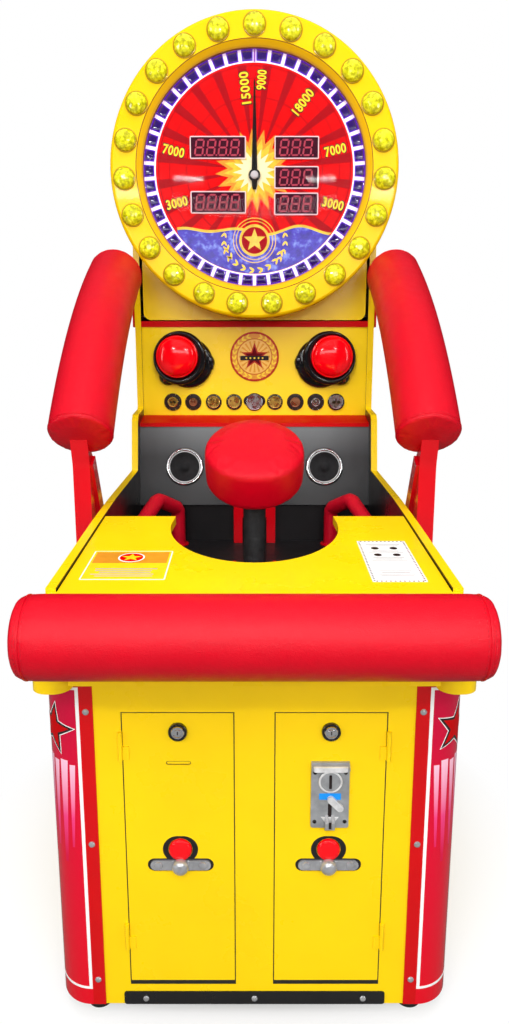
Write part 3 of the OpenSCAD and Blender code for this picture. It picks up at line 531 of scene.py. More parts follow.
def dome_plastic():
    """Thin clear cover: mirrors a little and lets the rest through."""
    cover = bpy.data.materials.new("clear_dome")
    tree = blank_tree(cover)
    coords = wire(tree, "ShaderNodeTexCoord")["Object"]
    scratches = wire(tree, "ShaderNodeTexNoise", {"Vector": coords, "Scale": 45.0})[0]
    haze = wire(tree, "ShaderNodeMapRange", {"Value": scratches, "To Min": 0.02, "To Max": 0.08})[0]
    edge = wire(tree, "ShaderNodeFresnel", {"IOR": 1.3})[0]
    share = wire(tree, "ShaderNodeMath", {0: edge, 1: 0.28}, operation="MULTIPLY")[0]
    clear = wire(tree, "ShaderNodeBsdfTransparent", {0: (0.985, 0.985, 0.99, 1)})[0]
    shine = wire(tree, "ShaderNodeBsdfGlossy", {"Roughness": haze})[0]
    mixed = wire(tree, "ShaderNodeMixShader", {0: share, 1: clear, 2: shine})[0]
    wire(tree, "ShaderNodeOutputMaterial", {0: mixed})
    return cover


def all_finishes():
    foam = leather("foam_sleeve_red", (0.60, 0.002, 0.018), 0.42)
    foam.bumped(foam.noise(120.0, 3.0), 0.0008, 0.5)
    grey = Finish("speaker_panel_grey", (0.075, 0.078, 0.082), 0.32)
    # Painted shade and painted light: the grey is darker low down and lighter towards the top.
    lit = grey.ramp(
        grey.span(grey.axes()[2], 0.745, 0.97), (0.0, (0.024, 0.024, 0.025)), (0.6, (0.045, 0.046, 0.048)),
        (1.0, (0.13, 0.135, 0.14)),
    )
    grey.tint(lit)
    sleeve = Finish("arm_sleeve", (0.022, 0.022, 0.023), 0.55)
    sleeve.mottled(40.0, 0.4)
    sleeve.bumped(sleeve.cells(380.0), 0.0006).bumped(sleeve.noise(70.0, 4.0), 0.001)
    cone = Finish("speaker_cone", (0.008, 0.008, 0.009), 0.6)
    cone.mottled(90.0, 0.5)
    cone.bumped(cone.noise(700.0, 2.0), 0.0003)
    made = {
        "yellow": paint("cabinet_yellow", YELLOW),
        "side": cabinet_paint(),
        "ring": ring_paint(),
        "lamp_cup": moulded("lamp_cup", (0.46, 0.27, 0.005), 0.2),
        "lamp": lamp_plastic(),
        "black": paint("board_black", (0.010, 0.009, 0.010), 0.5, 0.3),
        "black_steel": paint("steel_black", (0.012, 0.012, 0.013), 0.3, 0.2),
        "grey": grey,
        "grey_steel": metal("steel_grey", (0.28, 0.29, 0.30), 0.35),
        "trim": paint("trim_red", (0.54, 0.001, 0.002), 0.5, coat=0.0),
        "steel_red": paint("steel_red", (0.62, 0.0, 0.006), 0.22, coat=0.5),
        "leather": leather("pad_leather", RED),
        "foam": foam,
        "thread": Finish("seam_thread", (0.45, 0.0, 0.01), 0.6),
        "button": moulded("button_red", (0.90, 0.001, 0.006), 0.1),
        "gloss_black": moulded("glove_black", (0.006, 0.006, 0.007), 0.1),
        # Dark red of the painted reflection on the glove thumbs and of the printed heart of the badge's star.
        "dark_red": moulded("dark_red_reflection_and_print", (0.12, 0.002, 0.006), 0.1),
        "chrome": metal("chrome", (0.86, 0.87, 0.88), 0.06),
        "zinc": Finish("zinc", (0.52, 0.53, 0.55), 0.22, 0.6),
        "cast": Finish("cast_grey", (0.36, 0.37, 0.38), 0.36, 0.35),
        "dark_metal": metal("dark_metal", (0.08, 0.08, 0.085), 0.25),
        "pale_metal": Finish("pale_metal", (0.78, 0.78, 0.78), 0.3, 0.3),
        "rubber": Finish("rubber", (0.015, 0.015, 0.015), 0.6),
        "sleeve": sleeve,
        "cone": cone,
        "dial": print_ink("dial_red", (0.70, 0.0, 0.001), 0.2, 0.05),
        "dial_dark": print_ink("dial_dark_red", (0.36, 0.0, 0.004)),
        "blue": sunk_blue(),
        "gold": print_ink("print_gold", (0.80, 0.52, 0.03), 0.2, 0.2),
        "orange": print_ink("print_orange", (0.92, 0.30, 0.02), 0.2, 0.25),
        "pale": print_ink("print_pale", (0.98, 0.80, 0.45)),
        "number": print_ink("number_yellow", (0.95, 0.68, 0.01)),
        "ink": print_ink("ink_black", (0.02, 0.012, 0.012)),
        "bar_grey": print_ink("print_grey", (0.42, 0.42, 0.42)),
        "white": print_ink("print_white", (0.92, 0.92, 0.91), 0.3, 0.03),
        "led": moulded("led_violet", (0.05, 0.0, 0.32), 0.12).glowing((0.10, 0.0, 0.55), 0.4),
        "led_core": moulded("led_indigo", (0.02, 0.002, 0.12), 0.1),
        "led_base": moulded("led_base", (0.92, 0.80, 0.95), 0.3).glowing((1.0, 0.75, 0.95), 0.35),
        "lilac": moulded("lilac_rim", (0.30, 0.08, 0.50), 0.3),
        "display_rim": moulded("display_rim", (0.86, 0.62, 0.64), 0.3),
        "display": moulded("display_glass", (0.045, 0.004, 0.014), 0.08),
        # Painted light: the unlit digits glow faintly.
        "digit": Finish("display_digit", (0.40, 0.015, 0.05), 0.3).glowing((0.5, 0.03, 0.07), 0.08),
        "needle": moulded("needle_black", (0.008, 0.008, 0.010), 0.08),
        # Painted reflection: the cap's pale grey stands in for the reflection on the hub.
        "cap": moulded("needle_cap", (0.55, 0.52, 0.54), 0.05),
        "dome": dome_plastic(),
        "badge_orange": print_ink("badge_orange", (0.74, 0.30, 0.02)),
        "badge_rim": print_ink("badge_rim", (0.48, 0.02, 0.004)),
        "badge_mid": print_ink("badge_pale", (0.86, 0.50, 0.09)),
        "leaf": print_ink("leaf_gold", (0.90, 0.62, 0.03)),
        "medal_gold": metal("medal_gold", (0.86, 0.62, 0.14), 0.25),
        "medal_bronze": metal("medal_bronze", (0.55, 0.26, 0.13), 0.3),
        "medal_silver": metal("medal_silver", (0.60, 0.60, 0.62), 0.25),
        "medal_dark": metal("medal_dark", (0.10, 0.085, 0.05), 0.3),
        "wrap": wrap_print(),
        "streak": streak_print(),
        "label": print_ink("label_blue", (0.01, 0.28, 0.82)),
        "board": print_ink("circuit_green", (0.01, 0.14, 0.05)),
    }
    for key in ("trim", "dial", "dial_dark", "ring"):
        made[key].shader.inputs["Specular IOR Level"].default_value = 0.1
        made[key].shader.inputs["Coat Weight"].default_value = 0.1 if key == "ring" else 0.0
    made["button"].shader.inputs["Coat Weight"].default_value = 0.25
    for key in ("rubber", "thread", "digit", "cast", "pale_metal", "zinc"):
        made[key].mottled(60.0, 0.2)
        made[key].bumped(made[key].noise(500.0, 2.0), 0.0002)
    return {key: made[key].mat if isinstance(made[key], Finish) else made[key] for key in made}


NODE_FINISHES = {
    "yellow": "front_frame front_panel deck_panel roll_brackets button_panel marquee_box "
              "left_door right_door",
    "side": "side_panel_left side_panel_right",
    "ring": "marquee_ring",
    "black": "bottom_board rear_panel well_floor well_rear_wall",
    "black_steel": "kick_plate rear_door needle_motor",
    "grey": "speaker_panel",
    "grey_steel": "cash_box",
    "trim": "trim_strips",
    "wrap": "corner_guards",
    "steel_red": "guard_frame_left guard_frame_right arm_bracket rear_buffer",
    "rubber": "levelling_feet torsion_units",
    "sleeve": "swing_arm",
    "chrome": "speaker_rings rear_lock left_lock right_lock",
    "cone": "speakers",
    "zinc": "panel_screws pivot_shaft left_fittings right_fittings power_supply",
    "cast": "coin_acceptor",
    "pale_metal": "coin_lever",
    "dial": "dial_plate",
    "display": "score_displays",
    "led_base": "led_ring",
    "lamp": "ring_lamps",
    "dome": "dial_lens",
    "needle": "needle",
    "gloss_black": "glove_shells",
    "button": "start_button_left start_button_right left_door_button right_door_button",
    "badge_orange": "badges",
    "foam": "well_rail_left well_rail_right",
    "leather": "guard_pad_left guard_pad_right front_roll target_pad",
    "board": "control_board",
}
FINISH = all_finishes()


# Repeats made with Geometry Nodes


def new_tree(name, inputs):
    tree = bpy.data.node_groups.new(name, "GeometryNodeTree")
    tree.is_modifier = True
    tree.interface.new_socket(name="Geometry", in_out="INPUT", socket_type="NodeSocketGeometry")
    for label, kind in inputs:
        tree.interface.new_socket(name=label, in_out="INPUT", socket_type="NodeSocket" + kind)
    tree.interface.new_socket(name="Geometry", in_out="OUTPUT", socket_type="NodeSocketGeometry")
    start, end = tree.nodes.new("NodeGroupInput"), tree.nodes.new("NodeGroupOutput")
    return tree, start.outputs, end.inputs[0]


def end_with_copies(tree, start, end, points, turn):
    """Copies the piece onto the points, makes the copies real and gives them their finish."""
    piece = wire(tree, "GeometryNodeObjectInfo", {"Object": start["Piece"]})["Geometry"]
    copies = wire(
        tree, "GeometryNodeInstanceOnPoints", {"Points": points, "Instance": piece, "Rotation": turn}
    )[0]
    real = wire(tree, "GeometryNodeRealizeInstances", {"Geometry": copies})[0]
    tree.links.new(
        wire(tree, "GeometryNodeSetMaterial", {"Geometry": real, "Material": start["Finish"]})[0], end
    )


def ring_tree():
    """Copies set evenly round a circle, each turned outwards."""
    tree, start, end = new_tree(
        "ring_of_pieces",
        [
            ("Piece", "Object"), ("Finish", "Material"), ("Count", "Int"), ("Radius", "Float"),
            ("First Turn", "Float"),
        ],
    )
    circle = wire(tree, "GeometryNodeMeshCircle", {"Vertices": start["Count"], "Radius": start["Radius"]})[0]
    first = wire(tree, "ShaderNodeCombineXYZ", {2: start["First Turn"]})[0]
    turned = wire(
        tree,
        "GeometryNodeTransform",
        {"Geometry": circle, "Rotation": wire(tree, "FunctionNodeEulerToRotation", {0: first})[0]},
    )[0]
    x, y, _ = wire(tree, "ShaderNodeSeparateXYZ", {0: wire(tree, "GeometryNodeInputPosition")[0]})
    angle = wire(tree, "ShaderNodeMath", {0: y, 1: x}, operation="ARCTAN2")[0]
    turn = wire(
        tree, "FunctionNodeEulerToRotation", {0: wire(tree, "ShaderNodeCombineXYZ", {2: angle})[0]}
    )[0]
    end_with_copies(tree, start, end, turned, turn)
    return tree


def path_tree():
    """Copies set at even steps along the base object's edges, such as stitches along a seam."""
    tree, start, end = new_tree(
        "pieces_along_a_path", [("Piece", "Object"), ("Finish", "Material"), ("Step", "Float")]
    )
    curve = wire(tree, "GeometryNodeMeshToCurve", {"Mesh": start["Geometry"]})[0]
    points = wire(tree, "GeometryNodeCurveToPoints", {"Curve": curve, "Length": start["Step"]}, mode="LENGTH")
    end_with_copies(tree, start, end, points["Points"], points["Rotation"])
    return tree


def points_tree():
    """Copies on the base object's points, turned by each point's own angle about the upright axis."""
    tree, start, end = new_tree("pieces_on_points", [("Piece", "Object"), ("Finish", "Material")])
    angle = wire(tree, "GeometryNodeInputNamedAttribute", {"Name": "turn"}, data_type="FLOAT")["Attribute"]
    turn = wire(
        tree, "FunctionNodeEulerToRotation", {0: wire(tree, "ShaderNodeCombineXYZ", {2: angle})[0]}
    )[0]
    end_with_copies(tree, start, end, start["Geometry"], turn)
    return tree


TREES = {"ring": ring_tree(), "path": path_tree(), "points": points_tree()}


def repeated(
    name, tree, part, finish, body="root", place=None, base=((), ()), turns=None, smooth=30.0, slot=None,
    replaces=(), **values
):
    """Runs one of the trees with a part as its piece, and keeps the result as a plain mesh."""
    source = bpy.data.objects.new(name + "_source", bpy.data.meshes.new(name + "_source"))
    source.data.from_pydata([tuple(v) for v in part[0]], [], [list(f) for f in part[1]])
    mesh = bpy.data.meshes.new(name)
    mesh.from_pydata([tuple(v) for v in base[0]], [tuple(e) for e in base[1]], [])
    if turns:
        mesh.attributes.new("turn", "FLOAT", "POINT").data.foreach_set("value", turns)
    piece = bpy.data.objects.new(name, mesh)
    for thing in (source, piece):
        bpy.context.scene.collection.objects.link(thing)
    repeat = piece.modifiers.new("Repeat", "NODES")
    repeat.node_group = TREES[tree]
    values = {
        "Piece": source,
        "Finish": FINISH[finish],
        **{key.replace("_", " "): value for key, value in values.items()},
    }
    for item in TREES[tree].interface.items_tree:
        if item.in_out == "INPUT" and item.name in values:
            repeat[item.identifier] = values[item.name]
    bpy.context.view_layer.update()
    shown = piece.evaluated_get(bpy.context.evaluated_depsgraph_get())
    result = bpy.data.meshes.new_from_object(shown)
    piece.modifiers.remove(repeat)
    piece.data = result
    if not len(result.polygons):
        raise RuntimeError(f"{name}: the tree made nothing")
    bpy.data.objects.remove(source)
    if place is not None:
        result.transform(place)
    return hang(piece, finish, body, smooth, replaces)


# Padding


def surface(piece):
    return BVHTree.FromPolygons(
        [v.co for v in piece.data.vertices], [tuple(p.vertices) for p in piece.data.polygons]
    )


CLEAR_OF_PADS = 0.3  # metres from the middle of a pad, where rays towards it start


def around(tree, centre, across, up, lift=0.0, count=72):
    """Points round a pad, where rays that aim at its middle meet the cover."""
    points = []
    for turn in angles(count):
        way = across * math.cos(turn) + up * math.sin(turn)
        hit = tree.ray_cast(centre + way * CLEAR_OF_PADS, -way)[0]
        if hit is None:
            raise RuntimeError("a seam misses its pad")
        points.append(hit + way * lift)
    return points


def baked(piece):
    """Applies the modifiers of an object."""
    shown = piece.evaluated_get(bpy.context.evaluated_depsgraph_get())
    mesh = bpy.data.meshes.new_from_object(shown)
    piece.modifiers.clear()
    piece.data = mesh
    return mesh


COVER_FACE, BLOWN_AT = 0.0055, 20  # size of a cover's faces in metres, frames it is blown up for


def stuffed(name, part, replaced, body="root", place=None, reach=0.0045, held=None, pucker=None):
    """A padded piece: a slightly small shape is blown up as cloth, held where it rests or is sewn,
    and no point moves further than its reach."""
    mesh = bpy.data.meshes.new(name)
    mesh.from_pydata([tuple(v) for v in part[0]], [], [list(f) for f in part[1]])
    mesh.transform(place or WORLD_MM)
    piece = bpy.data.objects.new(name, mesh)
    bpy.context.scene.collection.objects.link(piece)
    cleaned(piece)
    remesh = piece.modifiers.new("Remesh", "REMESH")
    remesh.mode, remesh.voxel_size = "VOXEL", COVER_FACE
    mesh = baked(piece)
    rest = [v.co.copy() for v in mesh.vertices]
    cloth = piece.modifiers.new("Cloth", "CLOTH")
    cover, scene = cloth.settings, bpy.context.scene
    cover.quality, cover.mass = 5, 0.3
    cover.tension_stiffness = cover.compression_stiffness = 15
    cover.bending_stiffness = 0.6
    cover.use_pressure, cover.uniform_pressure_force = True, 4.0
    cover.effector_weights.gravity = 0
    cloth.collision_settings.use_collision = False
    if held:
        pins = piece.vertex_groups.new(name="held")
        for v in mesh.vertices:
            weight = held(v.co)
            if weight > 0:
                pins.add([v.index], weight, "REPLACE")
        cover.vertex_group_mass = "held"
    for step in range(1, BLOWN_AT + 1):
        scene.frame_set(step)
    mesh = baked(piece)
    scene.frame_set(1)
    for v, start in zip(mesh.vertices, rest):
        move = v.co - start
        if move.length > reach:
            v.co = start + move * (reach / move.length)
    if pucker:
        normals = [v.normal.copy() for v in mesh.vertices]
        for v, normal in zip(mesh.vertices, normals):
            v.co += normal * pucker(v.co)
    mesh.update()
    finer = piece.modifiers.new("Finer", "SUBSURF")
    finer.levels = 1
    baked(piece)
    hang(piece, "leather", body, 60.0, (replaced,))
    return piece


def seam(name, tree, loops, stitched=0.0055, thick=0.0019):
    """A welt along each loop, with a row of stitches on either side of it."""
    for k, (centre, across, up, along) in enumerate(loops):
        welt = tube(around(tree, centre, across, up, 0.0003), thick, 10, closed=True)
        cleaned(mesh_piece(f"{name}_welt_{k}", welt, "leather", smooth=60.0, slot="red_vinyl"))
        stitch = lathe([(0, -0.0021), (0.0005, -0.0018), (0.0006, 0), (0.0005, 0.0018), (0, 0.0021)], 6)
        for side in (-1, 1):
            row = around(tree, centre + along * (side * stitched), across, up, 0.00015)
            edges = [(i, (i + 1) % len(row)) for i in range(len(row))]
            repeated(f"{name}_stitches_{k}_{'ab'[side > 0]}", "path", stitch, "thread",
                     base=(row, edges), slot="red_vinyl", Step=0.0068)


def puckered(near, turn, folds, drift, depth=0.0007, reach=0.014):
    """Small folds round a pad that fade with the distance from its seam."""
    return -depth * math.exp(-near / reach) * (
        0.5 + 0.5 * math.sin(folds * turn + 2 * math.sin(drift * turn))
    )


def rolled(edge, rim):
    """How far a round end draws in at a distance from the end."""
    return rim - math.sqrt(rim * rim - (rim - edge) ** 2) if edge < rim else 0


def notch(distance, width, depth):
    """How far a cover is drawn in at a seam."""
    return depth * math.exp(-((distance / width) ** 2))


ROLL_Y, ROLL_Z, ROLL_BACK, ROLL_HALF, ROLL_SEAM = -128, 781, -64.5, 341, 324


def make_front_roll(radius):
    """The long roll at the front edge of the deck, flat where it rests on the beam."""
    size = radius / MM - 2.5
    rings, rim = [], 18.0
    stops = [0.0, 0.7, 2.5, 5.0, 9.0, 15.0, rim]
    stops += [rim + (ROLL_HALF - rim) * i / 60 for i in range(1, 61)]
    for x in [s - ROLL_HALF for s in stops] + [ROLL_HALF - s for s in stops[-2::-1]]:
        edge = ROLL_HALF - abs(x)
        r = size - rolled(edge, rim)
        r -= notch(abs(x) - ROLL_SEAM, 5.0, 2.2)
        rings.append([
            (x, min(ROLL_Y + r * math.cos(t), ROLL_BACK - 0.5), ROLL_Z + r * math.sin(t)) for t in angles(48)
        ])

    back = at(0, ROLL_BACK, 0).y

    def held(co):
        if co.y > back - 0.004:
            return 1.0
        return 1.0 if abs(abs(co.x) - ROLL_SEAM * MM) < 0.004 else 0.0

    def pucker(co):
        near = abs(abs(co.x) - ROLL_SEAM * MM)
        turn = math.atan2(co.z - ROLL_Z * MM, co.y - at(0, ROLL_Y, 0).y)
        return puckered(near, turn, 21, 5)

    roll = stuffed("front_roll_cover", loft(rings), "front_roll", held=held, pucker=pucker)
    tree = surface(roll)
    sides = [
        (at(side * ROLL_SEAM, ROLL_Y, ROLL_Z), Vector((0, 1, 0)), Vector((0, 0, 1)), Vector((1, 0, 0)))
        for side in (-1, 1)
    ]
    seam("front_roll", tree, sides)


GUARD_X, GUARD_Y, GUARD_Z, GUARD_BEND, GUARD_LOW, GUARD_TOP = 380, 1660.2, -23.8, 1545, 48.5, 24.0


def guard_frame_at(side, degrees):
    """Middle of a guard pad at one slope, with its sideways, upward and lengthways directions."""
    s, c = math.sin(math.radians(degrees)), math.cos(math.radians(degrees))
    middle = at(side * GUARD_X, GUARD_Y - GUARD_BEND * s, GUARD_Z + GUARD_BEND * c)
    return middle, Vector((1, 0, 0)), Vector((0, -s, c)), Vector((0, c, s))


def make_guard_pads(radius):
    """The bowed pads at both sides of the well."""
    size, rim = radius - 0.0035, 0.009
    length = GUARD_BEND * MM * math.radians(GUARD_LOW - GUARD_TOP)
    seams_at = (0.011, length - 0.011)
    stops = [0.0, 0.0005, 0.0015, 0.003, 0.005, 0.007, rim]
    stops += [rim + (length / 2 - rim) * i / 50 for i in range(1, 51)]
    stops += [length - s for s in stops[-2::-1]]
    for side, hand in SIDES:
        rings = []
        for s in stops:
            middle, across, up, _ = guard_frame_at(side, GUARD_LOW - math.degrees(s / (GUARD_BEND * MM)))
            edge = min(s, length - s)
            r = size - rolled(edge, rim)
            r -= sum(notch(s - seam_at, 0.003, 0.0010) for seam_at in seams_at)
            rings.append([middle + across * (r * math.cos(t)) + up * (r * math.sin(t)) for t in angles(48)])
        bend = at(side * GUARD_X, GUARD_Y, GUARD_Z)

        def along(co):
            slope = math.atan2(bend.y - co.y, co.z - bend.z)
            return (math.radians(GUARD_LOW) - slope) * GUARD_BEND * MM

        def held(co):
            return 1.0 if min(abs(along(co) - seam_at) for seam_at in seams_at) < 0.004 else 0.0

        def pucker(co):
            near = min(abs(along(co) - seam_at) for seam_at in seams_at)
            turn = math.atan2(math.hypot(co.y - bend.y, co.z - bend.z) - GUARD_BEND * MM, co.x - bend.x)
            return puckered(near, turn, 23, 4)

        pad = stuffed(
            f"guard_pad_cover_{hand}", loft(rings), f"guard_pad_{hand}", place=Matrix.Identity(4),
            held=held, pucker=pucker,
        )
        tree = surface(pad)
        loops = [guard_frame_at(side, GUARD_LOW - math.degrees(s / (GUARD_BEND * MM))) for s in seams_at]
        seam(f"guard_pad_{hand}", tree, loops, stitched=0.0035, thick=0.0010)


PAD_TILT = 30.0
ARM_Y, ARM_PIVOT_Z, PAD_Z = 548, 680, 895


def target_frame():
    """A frame in the middle of the punch pad's underside, upright axis through the pad."""
    return Matrix.Translation(at(0, ARM_Y, PAD_Z)) @ Matrix.Rotation(math.radians(PAD_TILT), 4, "X")


def make_target_pad(radius, thickness):
    """The round pad that is punched: straight sides, a rounded rim and a barely crowned top."""
    wide, edge, top = radius - 0.004, 0.017, thickness - 0.0035
    profile = [
        (0, 0.0005), (wide - 0.012, 0.0005), (wide - 0.004, 0.004), (wide, 0.012), (wide + 0.001, top * 0.5)
    ]
    profile += [
        (wide - edge + edge * math.cos(t), top - edge - 0.003 + edge * math.sin(t)) for t in quarter(9)
    ]
    profile += [(wide * 0.55, top - 0.001), (wide * 0.25, top), (0, top + 0.0003)]
    place = target_frame()
    inverse = place.inverted()

    def held(co):
        return 1.0 if (inverse @ co).z < 0.006 else 0.0

    def pucker(co):
        spot = inverse @ co
        turn = math.atan2(spot.y, spot.x)
        return puckered(abs(spot.z), turn, 26, 3, 0.0006, 0.012)

    stuffed("target_pad_cover", lathe(profile, 72), "target_pad", "arm", place, held=held, pucker=pucker)


RAIL = [(219, 985, 635.4), (219, 985, 741), (266, 907, 781), (310.5, 796, 719), (331.6, 796, 719)]


def bent(points, radius, steps=6):
    """A path through points whose corners are rounded."""
    points = [Vector(p) for p in points]
    path = [points[0]]
    for a, b, c in zip(points, points[1:], points[2:]):
        into, out = (a - b).normalized(), (c - b).normalized()
        cut = min(radius, (a - b).length * 0.45, (c - b).length * 0.45)
        for i in range(steps + 1):
            t = i / steps
            path.append(b + into * cut * (1 - t) ** 2 + out * cut * t ** 2)
    return path + [points[-1]]


def make_well_rails(radius):
    """Foam sleeves over the bars in the well, with collars at both ends."""
    for side, hand in SIDES:
        corners = [(side * x, y, z) for x, y, z in RAIL]
        path = bent(corners, 16.0)
        fine = [path[0]]
        for a, b in zip(path, path[1:]):
            parts = max(1, int((b - a).length / 9))
            fine += [a.lerp(b, i / parts) for i in range(1, parts + 1)]
        sizes = []
        for i, p in enumerate(fine):
            near = min((p - Vector(c)).length for c in corners[1:4])
            fold = 0.16 + 0.75 * math.exp(-((near / 20) ** 2))
            sizes.append(radius / MM - 0.4 + fold * math.sin(i * 1.9) * 0.8 + 0.12 * math.sin(i * 0.7 + side))
        sleeve = mesh_piece(f"well_rail_sleeve_{hand}", tube(fine, sizes, 32), "foam", "root", WORLD_MM, 50.0,
                            "red_foam", (f"well_rail_{hand}",))
        cleaned(sleeve)
        collar = lathe(
            [
                (radius / MM - 1, 0.1), (radius / MM + 9, 0.1), (radius / MM + 9, 3.2),
                (radius / MM + 8.2, 4), (radius / MM - 1, 4), (radius / MM - 1, 0.1),
            ],
            48,
        )
        foot = placed(collar, Matrix.Translation(corners[0]))
        wall = placed(collar, Matrix.Translation(corners[-1]) @ Matrix.Rotation(-side * math.pi / 2, 4, "Y"))
        cleaned(
            mesh_piece(
                f"well_rail_collars_{hand}", joined(foot, wall), "steel_red", "root", WORLD_MM,
                slot="red_foam",
            )
        )


# Dial, lamps and needle

FACE = 102.0
FRAME_STEPS = ((0, 0.3), (0, 4.4), (0.8, 5.2), (2.4, 5.2), (2.8, 4.9), (2.8, 0.5))
DISPLAYS = ((-98, 58, 4), (-98, -80, 4), (113, 58, 3), (113, -17, 3), (113, -84, 3))
SCORES = (
    ("7000", -216.8, 1706.3, -13, 58), ("3000", -210.5, 1574.9, 13, 58), ("15000", -25.1, 1860.9, 97, 78),
    ("9000", 18.7, 1880.2, 85, 48), ("18000", 128.4, 1826.9, 52, 70), ("7000", 216.5, 1708.7, 13, 58),
    ("3000", 213.2, 1572.4, -13, 58),
)


def lettered(text, width, height, weight, bottom, top):
    """Plain digits as a solid of the given size, from Blender's own typeface."""
    curve = bpy.data.curves.new("digits", "FONT")
    curve.body, curve.size, curve.offset, curve.resolution_u = text, 1.0, weight, 3
    curve.extrude, curve.space_character = 0.5, 1.06
    holder = bpy.data.objects.new("digits", curve)
    bpy.context.scene.collection.objects.link(holder)
    mesh = bpy.data.meshes.new_from_object(holder.evaluated_get(bpy.context.evaluated_depsgraph_get()))
    bpy.data.objects.remove(holder)
    co = [v.co.copy() for v in mesh.vertices]
    low = [min(c[i] for c in co) for i in (0, 1)]
    high = [max(c[i] for c in co) for i in (0, 1)]
    verts = [
        (
            (c.x - (low[0] + high[0]) / 2) * width / (high[0] - low[0]),
            (c.y - (low[1] + high[1]) / 2) * height / (high[1] - low[1]),
            top if c.z > 0 else bottom,
        )
        for c in co
    ]
    faces = [tuple(p.vertices) for p in mesh.polygons]
    bpy.data.meshes.remove(mesh)
    return verts, faces


def on_face(*points):
    """Points of a profile whose heights are counted from the face of the dial."""
    return [(r, FACE + h) for r, h in points]


def flat(outline, height, thick=0.3):
    """A thin print whose edge is softened."""
    return raised(outline, [(0, height - 0.2), (0, height + thick * 0.6), (thick * 0.6, height + thick)])


def spin(x=0.0, y=0.0, turn=0.0):
    return Matrix.Translation((x, y, 0)) @ Matrix.Rotation(math.radians(turn), 4, "Z")


def laurel(radius, start, end, count, size, height):
    """Leaves set in pairs along an arc."""
    leaf = [
        (0, 0), (size * 0.35, size * 0.22), (size * 0.75, size * 0.16), (size, 0),
        (size * 0.7, -size * 0.14), (size * 0.3, -size * 0.12),
    ]
    parts = []
    for k in range(count):
        a = start + (end - start) * k / (count - 1)
        x, y = radius * math.cos(math.radians(a)), radius * math.sin(math.radians(a))
        way = a + (90 if end > start else -90)
        for tilt in (28, -28):
            parts.append(flat(moved(leaf[::-1], x, y, way + tilt), height, 0.25))
    return joined(*parts)


def make_dial_print(radius):
    """The printed face: rays, thin rings, a sunburst, and a blue foot with a medallion."""
    place, reach = facing(0, DIAL_Y, DIAL_Z), radius / MM - 1.0
    printed = partial(mesh_piece, place=place, slot="dial_print")
    printed("dial_face", raised(oval(2 * reach, 2 * reach, 128), on_face((0, 0.02), (0, 0.3))), "dial")
    rays = []
    for k in range(24):
        a, half = 15 * k + 7.5, 2.6
        foot = [(66, a - half * 0.4), (reach - 3, a - half), (reach - 3, a + half), (66, a + half * 0.4)]
        rays.append(flat([polar(r, math.radians(t)) for r, t in foot], FACE + 0.3, 0.2))
    printed("dial_rays", joined(*rays), "dial_dark")
    rings = [
        lathe(band(r, r + w, FACE + 0.2, FACE + 0.6), 128)
        for r, w in ((128, 1.6), (182, 2.4), (228, 1.6), (257, 2.2))
    ]
    cleaned(printed("dial_ring_lines", joined(*rings), "dial_dark"))
    for name, points, outer, inner, key, step in (
        ("outer", 20, 106, 72, "orange", 0.7), ("middle", 20, 84, 56, "gold", 0.9),
        ("inner", 16, 58, 34, "pale", 1.1),
    ):
        printed(f"sunburst_{name}", flat(star(points, outer, inner, 94), FACE + step, 0.2), key)
    top = [(x, -156 - 7 * math.sin(x / 26.0) - 5 * math.cos(x / 41.0)) for x in range(212, -213, -8)]
    arc = [polar(reach, math.radians(a)) for a in range(218, 323, 3)]
    foot = arc + top
    printed("dial_foot_border", flat(moved(foot, 0, 7), FACE + 0.72, 0.25), "gold")
    printed("dial_foot", flat(foot, FACE + 1.0, 0.2), "blue")
    wave = [lathe(band(r, r + 2, FACE + 1.1, FACE + 1.35), 64) for r in (49, 57)]
    medal = place @ spin(0, -178)
    cleaned(printed("medallion_rings", joined(*wave), "gold", place=medal))
    printed("medallion", flat(oval(84, 84), FACE + 1.2, 0.3), "gold", place=medal)
    printed("medallion_disc", flat(oval(70, 70), FACE + 1.5, 0.2), "dial_dark", place=medal)
    printed("medallion_star", flat(star(5, 31, 13), FACE + 1.7, 0.3), "gold", place=medal)
    leaves = joined(
        laurel(78, -20, -160, 9, 17, FACE + 1.3), laurel(84, 14, -30, 4, 15, FACE + 1.3),
        laurel(84, 166, 210, 4, 15, FACE + 1.3),
    )
    printed("medallion_leaves", leaves, "leaf", place=medal)


def make_dial_numbers(height):
    """The scores round the dial, yellow on a dark outline."""
    for k, (text, x, z, turn, width) in enumerate(SCORES):
        place = facing(x, DIAL_Y, z) @ Matrix.Rotation(math.radians(turn), 4, "Z")
        tall = height / MM
        printed = partial(mesh_piece, place=place, smooth=0, slot="dial_print")
        printed(
            f"score_shadow_{k}", lettered(text, width + 5, tall + 5, 0.055, FACE + 0.5, FACE + 1.0), "ink"
        )
        printed(f"score_{k}", lettered(text, width, tall, 0.025, FACE + 0.9, FACE + 1.5), "number")


# Middle and direction of the seven bars of a digit, in half widths and half heights
BARS = ((0, 1, 0), (0, 0, 0), (0, -1, 0), (-1, 0.5, 90), (1, 0.5, 90), (-1, -0.5, 90), (1, -0.5, 90))


def seven_bars(w, h, stroke, height):
    """One unlit digit: seven bars and a point, leaning a little."""
    parts = []
    for x, y, turn in BARS:
        long = (h / 2 if turn else w) - stroke * 0.5
        bar = [
            (-long / 2 + stroke / 2, -stroke / 2), (long / 2 - stroke / 2, -stroke / 2), (long / 2, 0),
            (long / 2 - stroke / 2, stroke / 2), (-long / 2 + stroke / 2, stroke / 2), (-long / 2, 0),
        ]
        parts.append(moved(bar, x * w / 2, y * h / 2, turn))
    parts.append(moved(oval(stroke, stroke, 12), w / 2 + stroke * 1.4, -h / 2))
    slant = math.tan(math.radians(8))
    return joined(
        *[
            raised(
                [(x + slant * y, y) for x, y in bar],
                [(0, height - 0.3), (0, height), (0.35, height + 0.25)],
            )
            for bar in parts
        ]
    )


